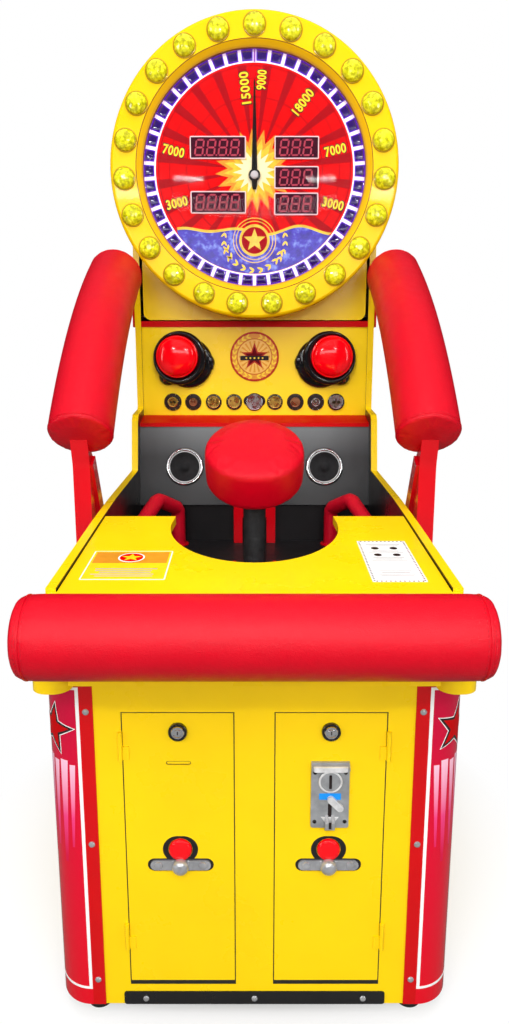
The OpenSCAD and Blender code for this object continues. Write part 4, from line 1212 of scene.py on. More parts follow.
def make_score_displays(height):
    """Dark score windows in pale frames, with their unlit digits."""
    place, tall = facing(0, DIAL_Y, DIAL_Z), height / MM
    window = partial(mesh_piece, place=place, slot="display_black")
    rims, glass, digits = [], [], []
    for x, z, count in DISPLAYS:
        w = 26 + 31 * count
        spot = spin(x, z)
        rim = loft(
            [[(*p, h) for p in inset(rounded(w, tall, 4), d)] for d, h in on_face(*FRAME_STEPS)],
            closed=True,
        )
        rims.append(placed(rim, spot))
        glass.append(
            placed(raised(rounded(w - 5.4, tall - 5.4, 2), on_face((0, 0.4), (0, 4.0), (0.6, 4.5))), spot)
        )
        for k in range(count):
            digits.append(
                placed(seven_bars(20, 38, 4.6, FACE + 4.6), spin(x + 31.5 * (k - (count - 1) / 2) - 2, z))
            )
    cleaned(window("display_frames", joined(*rims), "display_rim"))
    window("display_windows", joined(*glass), "display", replaces=("score_displays",))
    window("display_digits", joined(*digits), "digit", smooth=0)


def make_light_ring(outer, inner, count):
    """Violet lights round the dial, set on a pale base inside a lilac rim."""
    place, wide, narrow = facing(0, DIAL_Y, DIAL_Z), outer / MM, inner / MM
    lit = partial(mesh_piece, place=place, slot="white_diffuser")
    base = band(narrow, wide - 0.3, FACE + 0.02, FACE + 1.2)
    cleaned(lit("light_base", lathe(base, 128), "led_base", replaces=("led_ring",)))
    edge = ((1.8, 1.1), (0.2, 1.1), (0.2, 2.9), (0.6, 3.3), (1.4, 3.3), (1.8, 2.9), (1.8, 1.1))
    rim = on_face(*((wide - d, h) for d, h in edge))
    cleaned(lit("light_rim", lathe(rim, 128), "lilac"))
    r0, r1 = narrow + 3.5, wide - 2.0
    half0, half1 = (2 * math.pi * r / count / 2 - 4.6 for r in (r0, r1))
    wedge = [
        (-(r1 - r0) / 2, -half0), ((r1 - r0) / 2, -half1), ((r1 - r0) / 2, half1), (-(r1 - r0) / 2, half0)
    ]
    window = raised(wedge, on_face((0, 1.1), (0, 2.2), (1.2, 2.9)))
    core = raised(inset(wedge, 3.2), on_face((0, 2.7), (0, 3.1), (0.8, 3.4)))
    first = math.pi / 2 + math.pi / count
    for name, part, key in (("lights", window, "led"), ("light_cores", core, "led_core")):
        repeated(
            name, "ring", part, key, place=place, Count=count, Radius=(r0 + r1) / 2, First_Turn=first,
            slot="white_diffuser",
        )
    gap = raised(rounded(5.4, r1 - r0 + 5, 1), on_face((0, 1.1), (0, 3.2), (0.6, 3.6)))
    lit("light_divider", gap, "lilac", place=place @ spin(0, (r0 + r1) / 2))


LAMP_SIDES, LAMP_CIRCLE, HOUSING_DEPTH = 16, 348.0, 128


def cut_lamp(lamp):
    """A low crown of facets, whose rings are turned by half a facet from one to the next."""
    steps = ((3.2, -0.3), (3.2, 3.6), (5.0, 9.0), (10.0, 13.6), (17.0, 16.8), (24.0, 18.4))
    verts, faces, n = [], [], LAMP_SIDES
    for k, (step, h) in enumerate(steps):
        verts += [(*polar(lamp - step, 2 * math.pi * (i + 0.5 * (k % 2)) / n), h) for i in range(n)]
    for k in range(len(steps) - 1):
        for i in range(n):
            a, b = k * n + i, k * n + (i + 1) % n
            c, d = a + n, b + n
            faces += [(a, b, d), (a, d, c)] if k % 2 else [(a, b, c), (b, d, c)]
    last = n * (len(steps) - 1)
    return verts, faces + [tuple(range(n))[::-1], tuple(range(last, last + n))]


def make_lamps(radius, count):
    """Cut yellow lamps in shallow cups on the face of the housing."""
    lamp, place = radius / MM, facing(0, DIAL_Y - HOUSING_DEPTH, DIAL_Z)
    cup = [
        (lamp - 3.4, -0.4), (lamp, -0.4), (lamp, 1.6), (lamp - 0.8, 2.8), (lamp - 2.4, 3.2),
        (lamp - 3.4, 2.4),
    ]
    cup = lathe(cup + cup[:1], 40)
    ring = {"Count": count, "Radius": LAMP_CIRCLE, "First_Turn": math.pi / 2}
    ring.update(place=place, slot="lamp_plastic")
    cleaned(repeated("lamp_cups", "ring", cup, "lamp_cup", **ring))
    cleaned(repeated("lamps", "ring", cut_lamp(lamp), "lamp", smooth=0, replaces=("ring_lamps",), **ring))


def make_dome(radius):
    """The clear bulging cover of the dial."""
    wide, place = radius / MM - 0.4, facing(0, DIAL_Y, DIAL_Z)
    low, rise, thick = FACE + 7.2, 35.0, 2.0
    outer = [(wide - 0.2, low), (wide - 0.2, low + 1.6)]
    outer += [
        ((wide - 3.0) * math.cos(t), low + 1.8 + rise * math.sin(t)) for t in quarter(20)
    ] + [(0, low + 1.8 + rise)]
    inner = [(0, low + 1.8 + rise - thick)] + [
        ((wide - 5.0) * math.cos(t), low + (rise + 1.8 - thick) * math.sin(t)) for t in quarter(20)[::-1]
    ]
    cleaned(
        mesh_piece(
            "dial_dome",
            lathe(outer + inner + [(wide - 0.2, low)], 160),
            "dome",
            place=place,
            smooth=50.0,
            slot="clear_dome",
            replaces=("dial_lens",),
        )
    )


def make_needle(length):
    """The tapered pointer on its hub."""
    reach, place = length / MM, facing(0, DIAL_Y, DIAL_Z - 12)
    blade = [
        (-8.0, 0), (-7, -26), (-4.5, -36), (4.5, -36), (7, -26), (8.0, 0), (5.2, reach * 0.45),
        (1.6, reach - 1.5), (0, reach), (-1.6, reach - 1.5), (-5.2, reach * 0.45),
    ]
    ridge = raised(blade, on_face((0, 6.4), (0, 8.6), (1.1, 9.6)))
    spine = raised([(x * 0.45, y * 0.94) for x, y in blade], on_face((0, 9.2), (0, 10.0), (0.8, 11.0)))
    mesh_piece("pointer", joined(ridge, spine), "needle", "needle", place, 25.0, "needle_black", ("needle",))
    hub = on_face(
        (0, 4.8), (14.5, 4.8), (16, 6), (16, 11.4), (14.8, 13), (11.5, 13.6), (10.8, 12.6), (0, 12.6)
    )
    cleaned(mesh_piece("pointer_hub", lathe(hub, 48), "needle", "needle", place, slot="needle_black"))
    cap = on_face((0, 12.4), (10.4, 12.4), (10.4, 14), (8, 16.8), (4, 17.8), (0, 18))
    cleaned(mesh_piece("pointer_cap", lathe(cap, 40), "cap", "needle", place, slot="needle_black"))


# Button panel and speakers

PANEL_Y, BUTTON_X, BUTTON_Z, MEDAL_Z = 1150, 226, 1165, 1032


def merged(circles, steps=240):
    """Outline of overlapping circles, seen from the middle of the first."""
    x0, y0, _ = circles[0]
    outline = []
    for t in angles(steps):
        dx, dy, far = math.cos(t), math.sin(t), 0.0
        for x, y, r in circles:
            fx, fy = x - x0, y - y0
            along = fx * dx + fy * dy
            off = abs(fx * dy - fy * dx)
            if off < r:
                far = max(far, along + math.sqrt(r * r - off * off))
        outline.append(far)
    for _ in range(6):
        outline = [(outline[i - 1] + 2 * outline[i] + outline[(i + 1) % steps]) / 4 for i in range(steps)]
    return [(x0 + r * math.cos(t), y0 + r * math.sin(t)) for t, r in zip(angles(steps), outline)]


COLLAR_WIDTH, COLLAR_SHIFT, COLLAR_WAY = 16.5, 8.0, (-0.857, -0.514)


def make_glove_shells(radius, height):
    """Glossy black shells round the start buttons, with a lopsided rolled collar, a cuff and a thumb."""
    hole, top = radius / MM + 0.6, height / MM
    for side, hand in SIDES:
        shapes = [(side * x, z, r) for x, z, r in ((-30, -18, 73), (-81, -16, 27), (30, -57, 27), (0, 0, 68))]
        place = facing(side * BUTTON_X, PANEL_Y, BUTTON_Z)
        glossy = partial(mesh_piece, place=place, smooth=40.0, slot="gloss_black")
        shell = raised(
            merged(shapes), [(0, 0.1), (0, top * 0.3), (1.6, top * 0.44), (5, top * 0.56), (10, top * 0.64)]
        )
        glossy(f"glove_shell_{hand}", shell, "gloss_black", smooth=35.0)
        collar = [(0, 0.2), (0, top - 6)]
        collar += [
            (0.5 - 0.5 * math.cos(t), top - 6 + 9 * math.sin(t))
            for t in (math.pi * k / 14 for k in range(1, 14))
        ]
        collar += [(1, top - 8), (1, 0.2)]
        rings = []
        for share, h in collar:
            r, away = hole + COLLAR_WIDTH * share, COLLAR_SHIFT * share
            x, y = side * COLLAR_WAY[0] * away, COLLAR_WAY[1] * away
            rings.append([(x + r * math.cos(a), y + r * math.sin(a), h) for a in angles(96)])
        extra = {"replaces": ("glove_shells",)} if side > 0 else {}
        cleaned(glossy(f"glove_collar_{hand}", loft(rings, closed=True), "gloss_black", **extra))
        # The small dark red lobe on each thumb is a painted reflection.
        for name, x, z, wide, tall, rise, key in (
            ("cuff", -96, -16, 20, 46, 6, "gloss_black"),
            ("thumb", 31, -58, 46, 46, 8, "gloss_black"),
            ("thumb_spot", 39, -68, 13, 13, 11, "dark_red"),
        ):
            lobe = [
                [(*p, h) for p in oval(wide * s, tall * s, 40)]
                for s, h in [(1, 1), (1, top * 0.5)] + [
                    (math.cos(t), top * 0.5 + rise * math.sin(t)) for t in quarter(8)[1:]
                ]
            ]
            cleaned(
                glossy(f"glove_{name}_{hand}", loft(lobe), key, place=place @ spin(side * x, z, side * -6))
            )


def make_start_buttons(radius):
    """The two big domed red buttons, each with a rim line."""
    r = radius / MM - 0.2
    for side, hand in SIDES:
        node, top, rim = f"start_button_{hand}", 57.3, 39.0
        dome = [
            (0, -30), (7.9, -30), (7.9, 14.2), (r - 1, 14.2), (r, 15.2), (r, rim - 2), (r - 1.2, rim + 0.4),
            (r - 4, rim + 1), (r - 4.6, rim + 0.3), (r - 5.4, rim + 0.8),
        ]
        dome += [
            ((r - 5.8) * math.cos(t), rim + 1.4 + (top - rim - 1.4) * math.sin(t)) for t in quarter(16)
        ] + [(0, top)]
        cleaned(
            mesh_piece(
                f"{node}_dome", lathe(dome, 96), "button", f"start_{hand}",
                facing(side * BUTTON_X, PANEL_Y, BUTTON_Z), 35.0, "red_button", (node,),
            )
        )


def make_badge(radius):
    """Round badge between the buttons: a star in a laurel wreath."""
    r, place = radius / MM, facing(0, PANEL_Y, BUTTON_Z)
    fixed = partial(mesh_piece, place=place, slot="badge_metal")
    rim = [(0, 0.1), (r, 0.1), (r, 2.6), (r - 1, 3.6), (r - 5.2, 3.6), (r - 6, 2.8), (0, 2.8)]
    cleaned(fixed("badge_rim", lathe(rim, 96), "badge_rim", replaces=("badges",)))
    fixed("badge_field", flat(oval(2 * r - 12, 2 * r - 12, 96), 2.9, 0.3), "badge_orange")
    cleaned(fixed("badge_line", lathe(band(51, 52.4, 3.0, 3.6), 96), "badge_rim"))
    fixed("badge_disc", flat(oval(98, 98, 96), 3.2, 0.3), "badge_mid")
    corners = ((20, -0.05), (46, -0.07), (46, 0.07), (20, 0.05))
    rays = [flat([polar(far, a + turn) for far, turn in corners], 3.5, 0.1) for a in angles(20)]
    fixed("badge_rays", joined(*rays), "badge_orange")
    wreath = joined(laurel(59, -84, 66, 11, 15, 3.2), laurel(59, 264, 114, 11, 15, 3.2))
    fixed("badge_wreath", wreath, "leaf")
    fixed("badge_star", flat(star(5, 41, 17), 3.8, 0.6), "badge_rim")
    fixed("badge_star_heart", flat(star(5, 30, 12), 4.5, 0.3), "dark_red")
    fixed("badge_bar", flat(rounded(84, 13, 3), 4.6, 0.5), "ink", place=place @ spin(0, -4))
    dots = joined(*[flat(moved(oval(5, 5, 16), 12 * k, -4), 5.0, 0.3) for k in range(-2, 3)])
    fixed("badge_bar_dots", dots, "leaf")


# Share of the common radius, share of it inside the black rim, face and motif of each medal
MEDALS = (
    (1.06, 0.58, "gold", "eyes"), (0.99, 0.50, "bronze", "drop"), (0.97, 0.76, "gold", "star"),
    (0.97, 0.76, "gold", "drop"), (1.08, 0.90, "silver", "ray"), (0.97, 0.77, "gold", "star"),
    (1.02, 0.58, "bronze", "drop"), (1.02, 0.50, "silver", "ray"), (1.02, 0.82, "silver", "eyes"),
)


def make_medals(radius, pitch):
    """A row of nine medals in black rims, the middle one on a wide winged plate."""
    motifs = {
        "eyes": [moved(oval(9, 7, 20), x, 0) for x in (-5.2, 5.2)], "star": [star(5, 8, 3.6)],
        "drop": [star(3, 8, 4.4, 270)], "ray": [star(8, 9, 5)],
    }
    for k, (share, inside, kind, motif) in enumerate(MEDALS):
        place = facing((k - 4) * pitch / MM, PANEL_Y, MEDAL_Z)
        fixed = partial(mesh_piece, place=place, slot="badge_metal")
        size = radius / MM * share
        face = size * inside
        if k == 4:
            plate = merged([(0, 0, 26.5), (-16, 3, 16.5), (16, 3, 16.5)])
            fixed("medal_wings", raised(plate, [(0, 0.1), (0, 2.0), (1.5, 3.2)]), "ink")
        rim = [
            (0, 0.1), (size, 0.1), (size, 3.0), (size - 1.4, 4.6), (face + 1.2, 5.2), (face + 0.4, 4.4),
            (0, 4.2),
        ]
        cleaned(fixed(f"medal_rim_{k}", lathe(rim, 56), "ink"))
        disc = [
            (0, 4.0), (face, 4.0), (face, 5.0), (face - 1.2, 5.6), (face - 2.6, 5.4), (face * 0.4, 5.9),
            (0, 6.0),
        ]
        cleaned(fixed(f"medal_face_{k}", lathe(disc, 48), f"medal_{kind}"))
        scale = face / 15.0
        marks = joined(
            *[
                raised([(x * scale, y * scale) for x, y in shape], [(0, 5.2), (0, 6.1), (0.7, 6.6)])
                for shape in motifs[motif]
            ]
        )
        fixed(f"medal_motif_{k}", marks, "medal_dark" if motif == "eyes" else f"medal_{kind}")
        # Painted highlights: bright metal studs on the black rim where small glints show.
        glint_studs = [
            placed(lathe([(0, 4.4), (0.9, 4.4), (0.9, 5.1), (0, 5.5)], 10), spin(*polar(size - 2.6, a)))
            for a in (math.pi * (n + 0.5) / 4 for n in range(8))
        ]
        cleaned(fixed(f"medal_studs_{k}", joined(*glint_studs), f"medal_{kind}"))


SPEAKER_X, SPEAKER_UP = 203, 111


def make_speakers(radius):
    """Bright rings and dark dished cones of the two speakers."""
    r = radius / MM
    for side, hand in SIDES:
        place = on_speaker_panel(side * SPEAKER_X, SPEAKER_UP)
        ring = [
            (r - 9, 0.2), (r, 0.2), (r, 2.2), (r - 1.6, 4.2), (r - 4.5, 5.0), (r - 7.4, 4.2), (r - 9, 2.0),
            (r - 9, 0.2),
        ]
        extra = {"replaces": ("speaker_rings",)} if side > 0 else {}
        cleaned(
            mesh_piece(
                f"speaker_ring_{hand}", lathe(ring, 96), "chrome", place=place, smooth=40.0,
                slot="chrome_trim", **extra,
            )
        )
        # Painted shadow: a thin black ring just outside the chrome ring.
        painted_shadow_ring = [(r + 0.1, 0.1), (r + 1.6, 0.1), (r + 1.6, 0.9), (r + 0.1, 1.3), (r + 0.1, 0.1)]
        cleaned(
            mesh_piece(
                f"speaker_gasket_{hand}", lathe(painted_shadow_ring, 96), "rubber", place=place, smooth=40.0,
                slot="speaker_black",
            )
        )
        line = [
            (r - 11.2, 0.4), (r - 9.1, 0.4), (r - 9.1, 2.4), (r - 9.9, 3.0), (r - 10.6, 2.8),
            (r - 11.2, 1.8), (r - 11.2, 0.4),
        ]
        cleaned(
            mesh_piece(
                f"speaker_line_{hand}", lathe(line, 96), "pale_metal", place=place, slot="chrome_trim"
            )
        )
        cone = [
            (0, -6), (r - 11.3, -2), (r - 11.3, 1.2), (r - 13, 1.8), (r - 15, 1.2), (r - 19, 0.2),
            (r - 24, -1.4), (r - 30, -2.2), (14, -3), (12, -1.2), (6, 0.6), (0, 1.0),
        ]
        extra = {"replaces": ("speakers",)} if side > 0 else {}
        cleaned(
            mesh_piece(
                f"speaker_cone_{hand}", lathe(cone, 96), "cone", place=place, smooth=50.0,
                slot="speaker_black", **extra,
            )
        )


# Doors, coin unit, trim and decals

DOOR_X = 127
LOCK_Z, SLOT_Z, COIN_Z, DOOR_BUTTON_Z, STRAP_Z = 567, 509, 452, 346, 316.5


def make_door_locks(lock_radius):
    """Dark rings and bright turning faces of the two door locks."""
    lock = lock_radius / MM
    ring = [
        (lock - 3.2, 4.3), (lock - 3.2, 5.8), (lock - 2.2, 6.8), (lock - 0.4, 6.8), (lock + 0.6, 5.8),
        (lock + 0.6, 0.1), (lock + 0.1, 0.1), (lock + 0.1, 4.3), (lock - 3.2, 4.3),
    ]
    dish = [
        (0, 4.0), (8.0, 4.0), (8.0, 4.8), (lock - 3.6, 4.8), (lock - 3.6, 6.6), (lock - 4.6, 7.8),
        (lock - 7.0, 8.1), (lock - 7.6, 7.4), (lock - 8.6, 7.4), (lock - 9.2, 8.0), (0, 8.2),
    ]
    keyway = raised(rounded(1.8, 6.5, 0.8, 3), [(0, 7.9), (0, 8.35), (0.2, 8.5)])
    for side, hand in SIDES:
        place = facing(side * DOOR_X, 0, LOCK_Z)
        cleaned(
            mesh_piece(
                f"lock_ring_{hand}", lathe(ring, 56), "dark_metal", f"door_{hand}", place,
                slot="chrome_trim",
            )
        )
        cleaned(
            mesh_piece(
                f"lock_face_{hand}", lathe(dish, 48), "chrome", f"lock_{hand}", place, slot="chrome_trim"
            )
        )
        mesh_piece(f"lock_keyway_{hand}", keyway, "ink", f"lock_{hand}", place, slot="chrome_trim")


def make_door_recesses(knob_radius):
    """Dark floors of the oval and long recesses pressed into the doors."""
    hole = knob_radius / MM + 0.8
    rim, inner = rounded(60.4, 51.4, 25.6, 15), rounded(2 * hole, 2 * hole, hole - 0.001, 15)
    floor = framed(rim, inner, -1.5, -1.0)
    long_floor = raised(rounded(113.4, 24.4, 12.1, 8), [(0, -1.5), (0, -1.05)])
    for side, hand in SIDES:
        part = joined(placed(floor, spin(0, DOOR_BUTTON_Z)), placed(long_floor, spin(0, STRAP_Z)))
        cleaned(
            mesh_piece(
                f"door_recess_{hand}", part, "black_steel", f"door_{hand}", facing(side * DOOR_X, 0, 0),
                slot="black_steel",
            )
        )


def make_door_gaps():
    """Dark frames in the gaps round the doors, and a dark edge in the left door's short slot: painted shade
    where the gaps and the recess fall dark.
    """
    outer, inner = (
        [(-w, low), (w, low), (w, high), (-w, high)]
        for w, low, high in ((93.8, 75.2, 600.8), (92.4, 83.6, 599.4))
    )
    # Painted shade: a dark frame sunk in each door's gap, wider under the door.
    gap_shade = framed(outer, inner, -2.6, -0.7)
    for side, hand in SIDES:
        place = facing(side * DOOR_X, 0, 0)
        cleaned(mesh_piece(f"door_seal_{hand}", gap_shade, "rubber", "root", place, 0, "black_steel"))
    # Painted shade: a thin dark edge round the floor of the slot's recess.
    outer, inner = rounded(41.6, 6.6, 3.2, 6), rounded(39.4, 4.4, 2.1, 6)
    slot = framed(outer, inner, -1.4, -0.9)
    cleaned(
        mesh_piece("door_slot_edge", slot, "ink", "door_left", facing(-DOOR_X, 0, SLOT_Z), 0, "black_steel")
    )


def make_door_buttons(radius):
    """Small domed red buttons of the doors."""
    r = radius / MM - 0.4
    dome = [(0, -8.8), (r, -8.8), (r, 1.4), (r - 0.5, 2.6), (r - 1.4, 3.2), (r - 2.0, 3.0), (r - 2.6, 3.3)]
    dome += [((r - 2.8) * math.cos(t), 3.4 + 2.4 * math.sin(t)) for t in quarter(10)] + [(0, 5.8)]
    for side, hand in SIDES:
        cleaned(
            mesh_piece(
                f"door_button_{hand}", lathe(dome, 64), "button", f"button_{hand}",
                facing(side * DOOR_X, 0, DOOR_BUTTON_Z), 35.0, "red_button", (f"{hand}_door_button",),
            )
        )


def make_coin_unit(width, height):
    """Label, slots, nozzle, bezel and screws on the coin acceptor."""
    place, w, h = facing(DOOR_X, 0, COIN_Z), width / MM, height / MM
    fixed = partial(mesh_piece, body="door_right", place=place, slot="cast_metal")
    ridge = placed(
        loft(
            [
                [(x, y, z) for x, y in rounded(w - 8 + g, 9, 1.5, 3)]
                for z, g in ((9, 2), (12.2, 0), (12.8, -3))
            ]
        ),
        spin(0, h / 2 - 9.5),
    )
    dial = placed(
        lathe(
            [(16.8, 8.6), (20.0, 8.6), (20.0, 9.2), (19.0, 10.4), (17.4, 10.4), (16.8, 9.6), (16.8, 8.6)],
            56,
        ),
        spin(0, 27),
    )
    cleaned(fixed("coin_bezel", joined(ridge, dial), "pale_metal"))
    fixed("coin_label", placed(flat(rounded(37, 12, 1.5), 5.0, 0.2), spin(0, -2)), "label")
    slots = joined(placed(raised(rounded(4.8, 25, 1.2), [(0, 8.6), (0, 9.3), (0.3, 9.5)]), spin(0, 27)),
                   placed(raised(rounded(6.4, 35, 1.4), [(0, 4.7), (0, 5.2), (0.2, 5.35)]), spin(0, -33)))
    fixed("coin_slots", slots, "ink")
    slot_in_nozzle = raised(rounded(4.6, 12, 1.2), [(0, 15.5), (0, 16.3)])
    nozzle = loft(
        [
            [(x * s, y * t, z) for x, y in ((-3, -11), (3, -11), (15, 6), (-15, 6))]
            for z, s, t in ((4.8, 1.0, 1.0), (6.0, 1.0, 1.0), (7.0, 0.94, 0.9))
        ]
    )
    fixed("coin_nozzle", placed(nozzle, spin(0, -46)), "pale_metal", smooth=0)
    fixed("coin_nozzle_slot", placed(slot_in_nozzle, spin(0, -50)), "ink")
    screw_spots(
        "coin_screws",
        [(x, z, 5.0) for x in (-25.5, 25.5) for z in (42, -49)],
        3.4,
        place,
        "dark_metal",
        "door_right",
        "cast_metal",
    )


def screw_part(r):
    """A pan head with a cross recess."""
    head = [(0, -0.3), (r, -0.3), (r, 0.5), (r * 0.86, 1.3), (r * 0.5, 1.75), (0, 1.85)]
    bars = [
        raised(rounded(a, b, 0.3, 2), [(0, 1.5), (0, 1.92), (0.06, 1.98)])
        for a, b in ((r * 1.15, r * 0.26), (r * 0.26, r * 1.15))
    ]
    return lathe(head, 24), joined(*bars)


def screw_spots(name, spots, r, place, finish, body="root", slot=None):
    """Screws on points, each turned by its own angle."""
    head, cross = screw_part(r)
    turns = [((k * 2399) % 360) * math.pi / 180 for k in range(len(spots))]
    cleaned(repeated(name, "points", head, finish, body, place, base=(spots, ()), turns=turns, slot=slot))
    repeated(
        f"{name}_recess", "points", cross, "ink", body, place, base=(spots, ()), turns=turns, smooth=0,
        slot=slot,
    )


def make_arm_sleeve(radius):
    """Creased black sleeve over the swing arm."""
    pivot = at(0, ARM_Y, ARM_PIVOT_Z)
    way = target_frame().translation - pivot
    length = way.length / MM
    profile, n = [], 70
    for i in range(n + 1):
        h = 27 + (length - 31) * i / n
        crease = 0.55 * math.sin(h * 0.55) + 0.35 * math.sin(h * 1.31 + 1.0)
        profile.append((radius / MM + 0.5 + 0.35 * crease, h))
    profile = [(radius / MM - 1, profile[0][1] - 0.6)] + profile + [(radius / MM - 1, profile[-1][1] + 0.6)]
    turn = Vector((0, 0, 1)).rotation_difference(way.normalized()).to_matrix().to_4x4()
    part = lathe(profile, 48)
    mesh_piece(
        "arm_sleeve",
        part,
        "sleeve",
        "arm",
        Matrix.Translation(pivot) @ turn @ Matrix.Scale(MM, 4),
        60.0,
        "black_sleeve",
    )


HALF_WIDTH, CORNER_R, SKIN = 350, 60.0, 2.0
ARC_X = 290  # where the round corner starts


def on_wrap(side, u, z, lift):
    """A point of the corner wrap: u runs round the corner from where the arc starts."""
    arc = (CORNER_R + SKIN) * math.pi / 2
    if u <= 0:
        return side * (ARC_X + u), -SKIN - lift, z
    if u >= arc:
        return side * (HALF_WIDTH + SKIN + lift), CORNER_R + u - arc, z
    t, r = u / (CORNER_R + SKIN), CORNER_R + SKIN + lift
    return side * (ARC_X + r * math.sin(t)), CORNER_R - r * math.cos(t), z


def wrapped(side, outline, low=-0.15, high=0.35, step=5.0):
    """A flat outline laid round the corner, cut into strips so that it follows the arc."""
    bm = bmesh.new()
    face = bm.faces.new([bm.verts.new((u, z, 0)) for u, z in outline])
    if face.calc_area() <= 0:
        raise RuntimeError("a print on the wrap has no area")
    start, end = min(u for u, _ in outline), max(u for u, _ in outline)
    u = start + step
    while u < end:
        bmesh.ops.bisect_plane(
            bm, geom=bm.verts[:] + bm.edges[:] + bm.faces[:], plane_co=(u, 0, 0), plane_no=(1, 0, 0)
        )
        u += step
    bm.verts.index_update()
    flat_co = [tuple(v.co) for v in bm.verts]
    caps = [[v.index for v in f.verts] for f in bm.faces]
    rims = [[v.index for v in e.verts] for e in bm.edges if len(e.link_faces) == 1]
    bm.free()
    n = len(flat_co)
    verts = [on_wrap(side, u, z, lift) for lift in (low, high) for u, z, _ in flat_co]
    faces = caps + [[i + n for i in cap[::-1]] for cap in caps] + [[a, b, b + n, a + n] for a, b in rims]
    return verts, faces


WRAP_EDGE, WRAP_LINE_LOW, WRAP_LINE_HIGH, STREAK_LEAN = 4.5, 67.4, 645.6, 5.0
# Place round the corner, widths at foot and head, heights of foot and head
STREAKS = (
    (15, 4.0, 10.0, 350, 505), (31, 6.0, 15.0, 318, 512), (49, 4.5, 12.0, 344, 508),
    (68, 6.5, 16.0, 322, 512), (90, 4.5, 11.0, 352, 504),
)


def make_corner_wraps():
    """White border lines, a plain star and pale streaks on the red corner wraps."""
    printed = partial(mesh_piece, place=WORLD_MM, slot="red_wrap")
    for side, hand in SIDES:
        line = [
            (-1.2, WRAP_LINE_LOW), (WRAP_EDGE, WRAP_LINE_LOW), (WRAP_EDGE, WRAP_LINE_HIGH),
            (-1.2, WRAP_LINE_HIGH),
        ]
        rows = [wrapped(side, line)] + [
            wrapped(side, [(WRAP_EDGE, z - 2.4), (116, z - 2.4), (116, z + 2.4), (WRAP_EDGE, z + 2.4)])
            for z in (69.8, 643.2)
        ]
        cleaned(printed(f"wrap_lines_{hand}", joined(*rows), "white"))
        streaks = []
        for u, foot, head, low, high in STREAKS:
            start = u + STREAK_LEAN
            corners = [
                (start - foot / 2, low), (start + foot / 2, low), (u + head / 2, high),
                (u - head / 2, high),
            ]
            streaks.append(wrapped(side, corners, high=0.15))
        cleaned(printed(f"wrap_streaks_{hand}", joined(*streaks), "streak"))
        for name, outer, inner, key, high in (
            ("halo", 50, 22.5, "white", 0.2), ("edge", 47, 20.5, "ink", 0.35),
            ("heart", 38, 15.5, "trim", 0.5),
        ):
            shape = moved(star(5, outer, inner, 78 if side > 0 else 102), 56, 566)
            cleaned(printed(f"wrap_star_{name}_{hand}", wrapped(side, shape, -0.15, high), key))


DECK_Z, DECK_SLOPE = 785, math.radians(4.5)


def on_deck(x, y):
    """A frame on the sloping deck: across, back, up."""
    deck = Matrix.Translation(at(0, 0, DECK_Z)) @ Matrix.Rotation(DECK_SLOPE, 4, "X") @ Matrix.Scale(MM, 4)
    return deck @ Matrix.Translation((x, y / math.cos(DECK_SLOPE), 0))


def sticker(name, w, h, place, field, border, bars, shapes, slot):
    """A printed label: a border, a field, and plain bars and shapes in place of its print."""
    printed = partial(mesh_piece, place=place, smooth=0, slot=slot)
    printed(f"{name}_border", raised(rounded(w, h, 2), [(0, -0.1), (0, 0.2)]), border)
    printed(f"{name}_field", raised(rounded(w - 5, h - 5, 1), [(0, 0.1), (0, 0.35)]), field)
    if bars:
        lines = joined(
            *[raised(moved(rounded(bw, bh, 0.5, 2), x, y), [(0, 0.3), (0, 0.45)]) for x, y, bw, bh in bars]
        )
        printed(f"{name}_bars", lines, "bar_grey")
    for k, (outline, key, high) in enumerate(shapes):
        printed(f"{name}_shape_{k}", raised(outline, [(0, 0.3), (0, high)]), key)


def make_deck_labels():
    """Two labels on the deck, printed with plain shapes only."""
    bars = [(-4 if k % 2 else 0, -22 - 9 * k, 112 - 10 * (k % 3), 3.4) for k in range(5)]
    shapes = [
        (moved(rounded(138, 60, 2), 0, 38), "badge_orange", 0.4),
        (moved(oval(50, 50), 0, 38), "white", 0.5),
        (moved(oval(44, 44), 0, 38), "dial", 0.6),
        (moved(star(5, 20, 8), 0, 38), "number", 0.7),
    ]
    sticker("deck_label_left", 150, 150, on_deck(-231, 187), "number", "white", bars, shapes, "yellow_panel")
    bars = [
        (0, y, 66 - 8 * (k % 3), 2.6) for k, y in enumerate((88, 80, 50, 43, 12, 5, -2, -58, -66, -74, -82))
    ]
    shapes = [(moved(oval(15, 15, 24), x, y), "ink", 0.5) for x in (-18, 18) for y in (28, 66)]
    shapes += [
        (moved(rounded(3.2, 3.2, 0.3, 1), x, y), "ink", 0.5) for x in (-44, 44) for y in range(-104, 105, 8)
    ]
    shapes += [
        (moved(rounded(3.2, 3.2, 0.3, 1), x, y), "ink", 0.5)
        for y in (-107.5, 107.5)
        for x in range(-40, 41, 8)
    ]
    sticker("deck_label_right", 96, 221, on_deck(252, 212), "white", "white", bars, shapes, "yellow_panel")


SCREW_SEAT = 1.9  # just under the face of the plates, which are 2 thick


def make_screws():
    """Pan-head screws with cross recesses on the corner wraps and the kick plate."""
    spots = [(side * 278, z, SCREW_SEAT) for side in (-1, 1) for z in (602, 357.5, 87)]
    spots += [(x, 47.0, SCREW_SEAT) for x in (-194, 0, 194)]
    screw_spots("wrap_screws", spots, 5.3, facing(0, 0, 0), "zinc", "root", "zinc_steel")


CAMERA_Y, CAMERA_Z, CAMERA_TILT, LENS, SENSOR = -1.7455, 1.185, 11.9, 27.07, 36.0
FLOOR_SEEN, FLOOR_BOUNCE, FLOOR_MIRRORED = 0.97, 0.16, 0.18  # tone for the camera, for light, in gloss
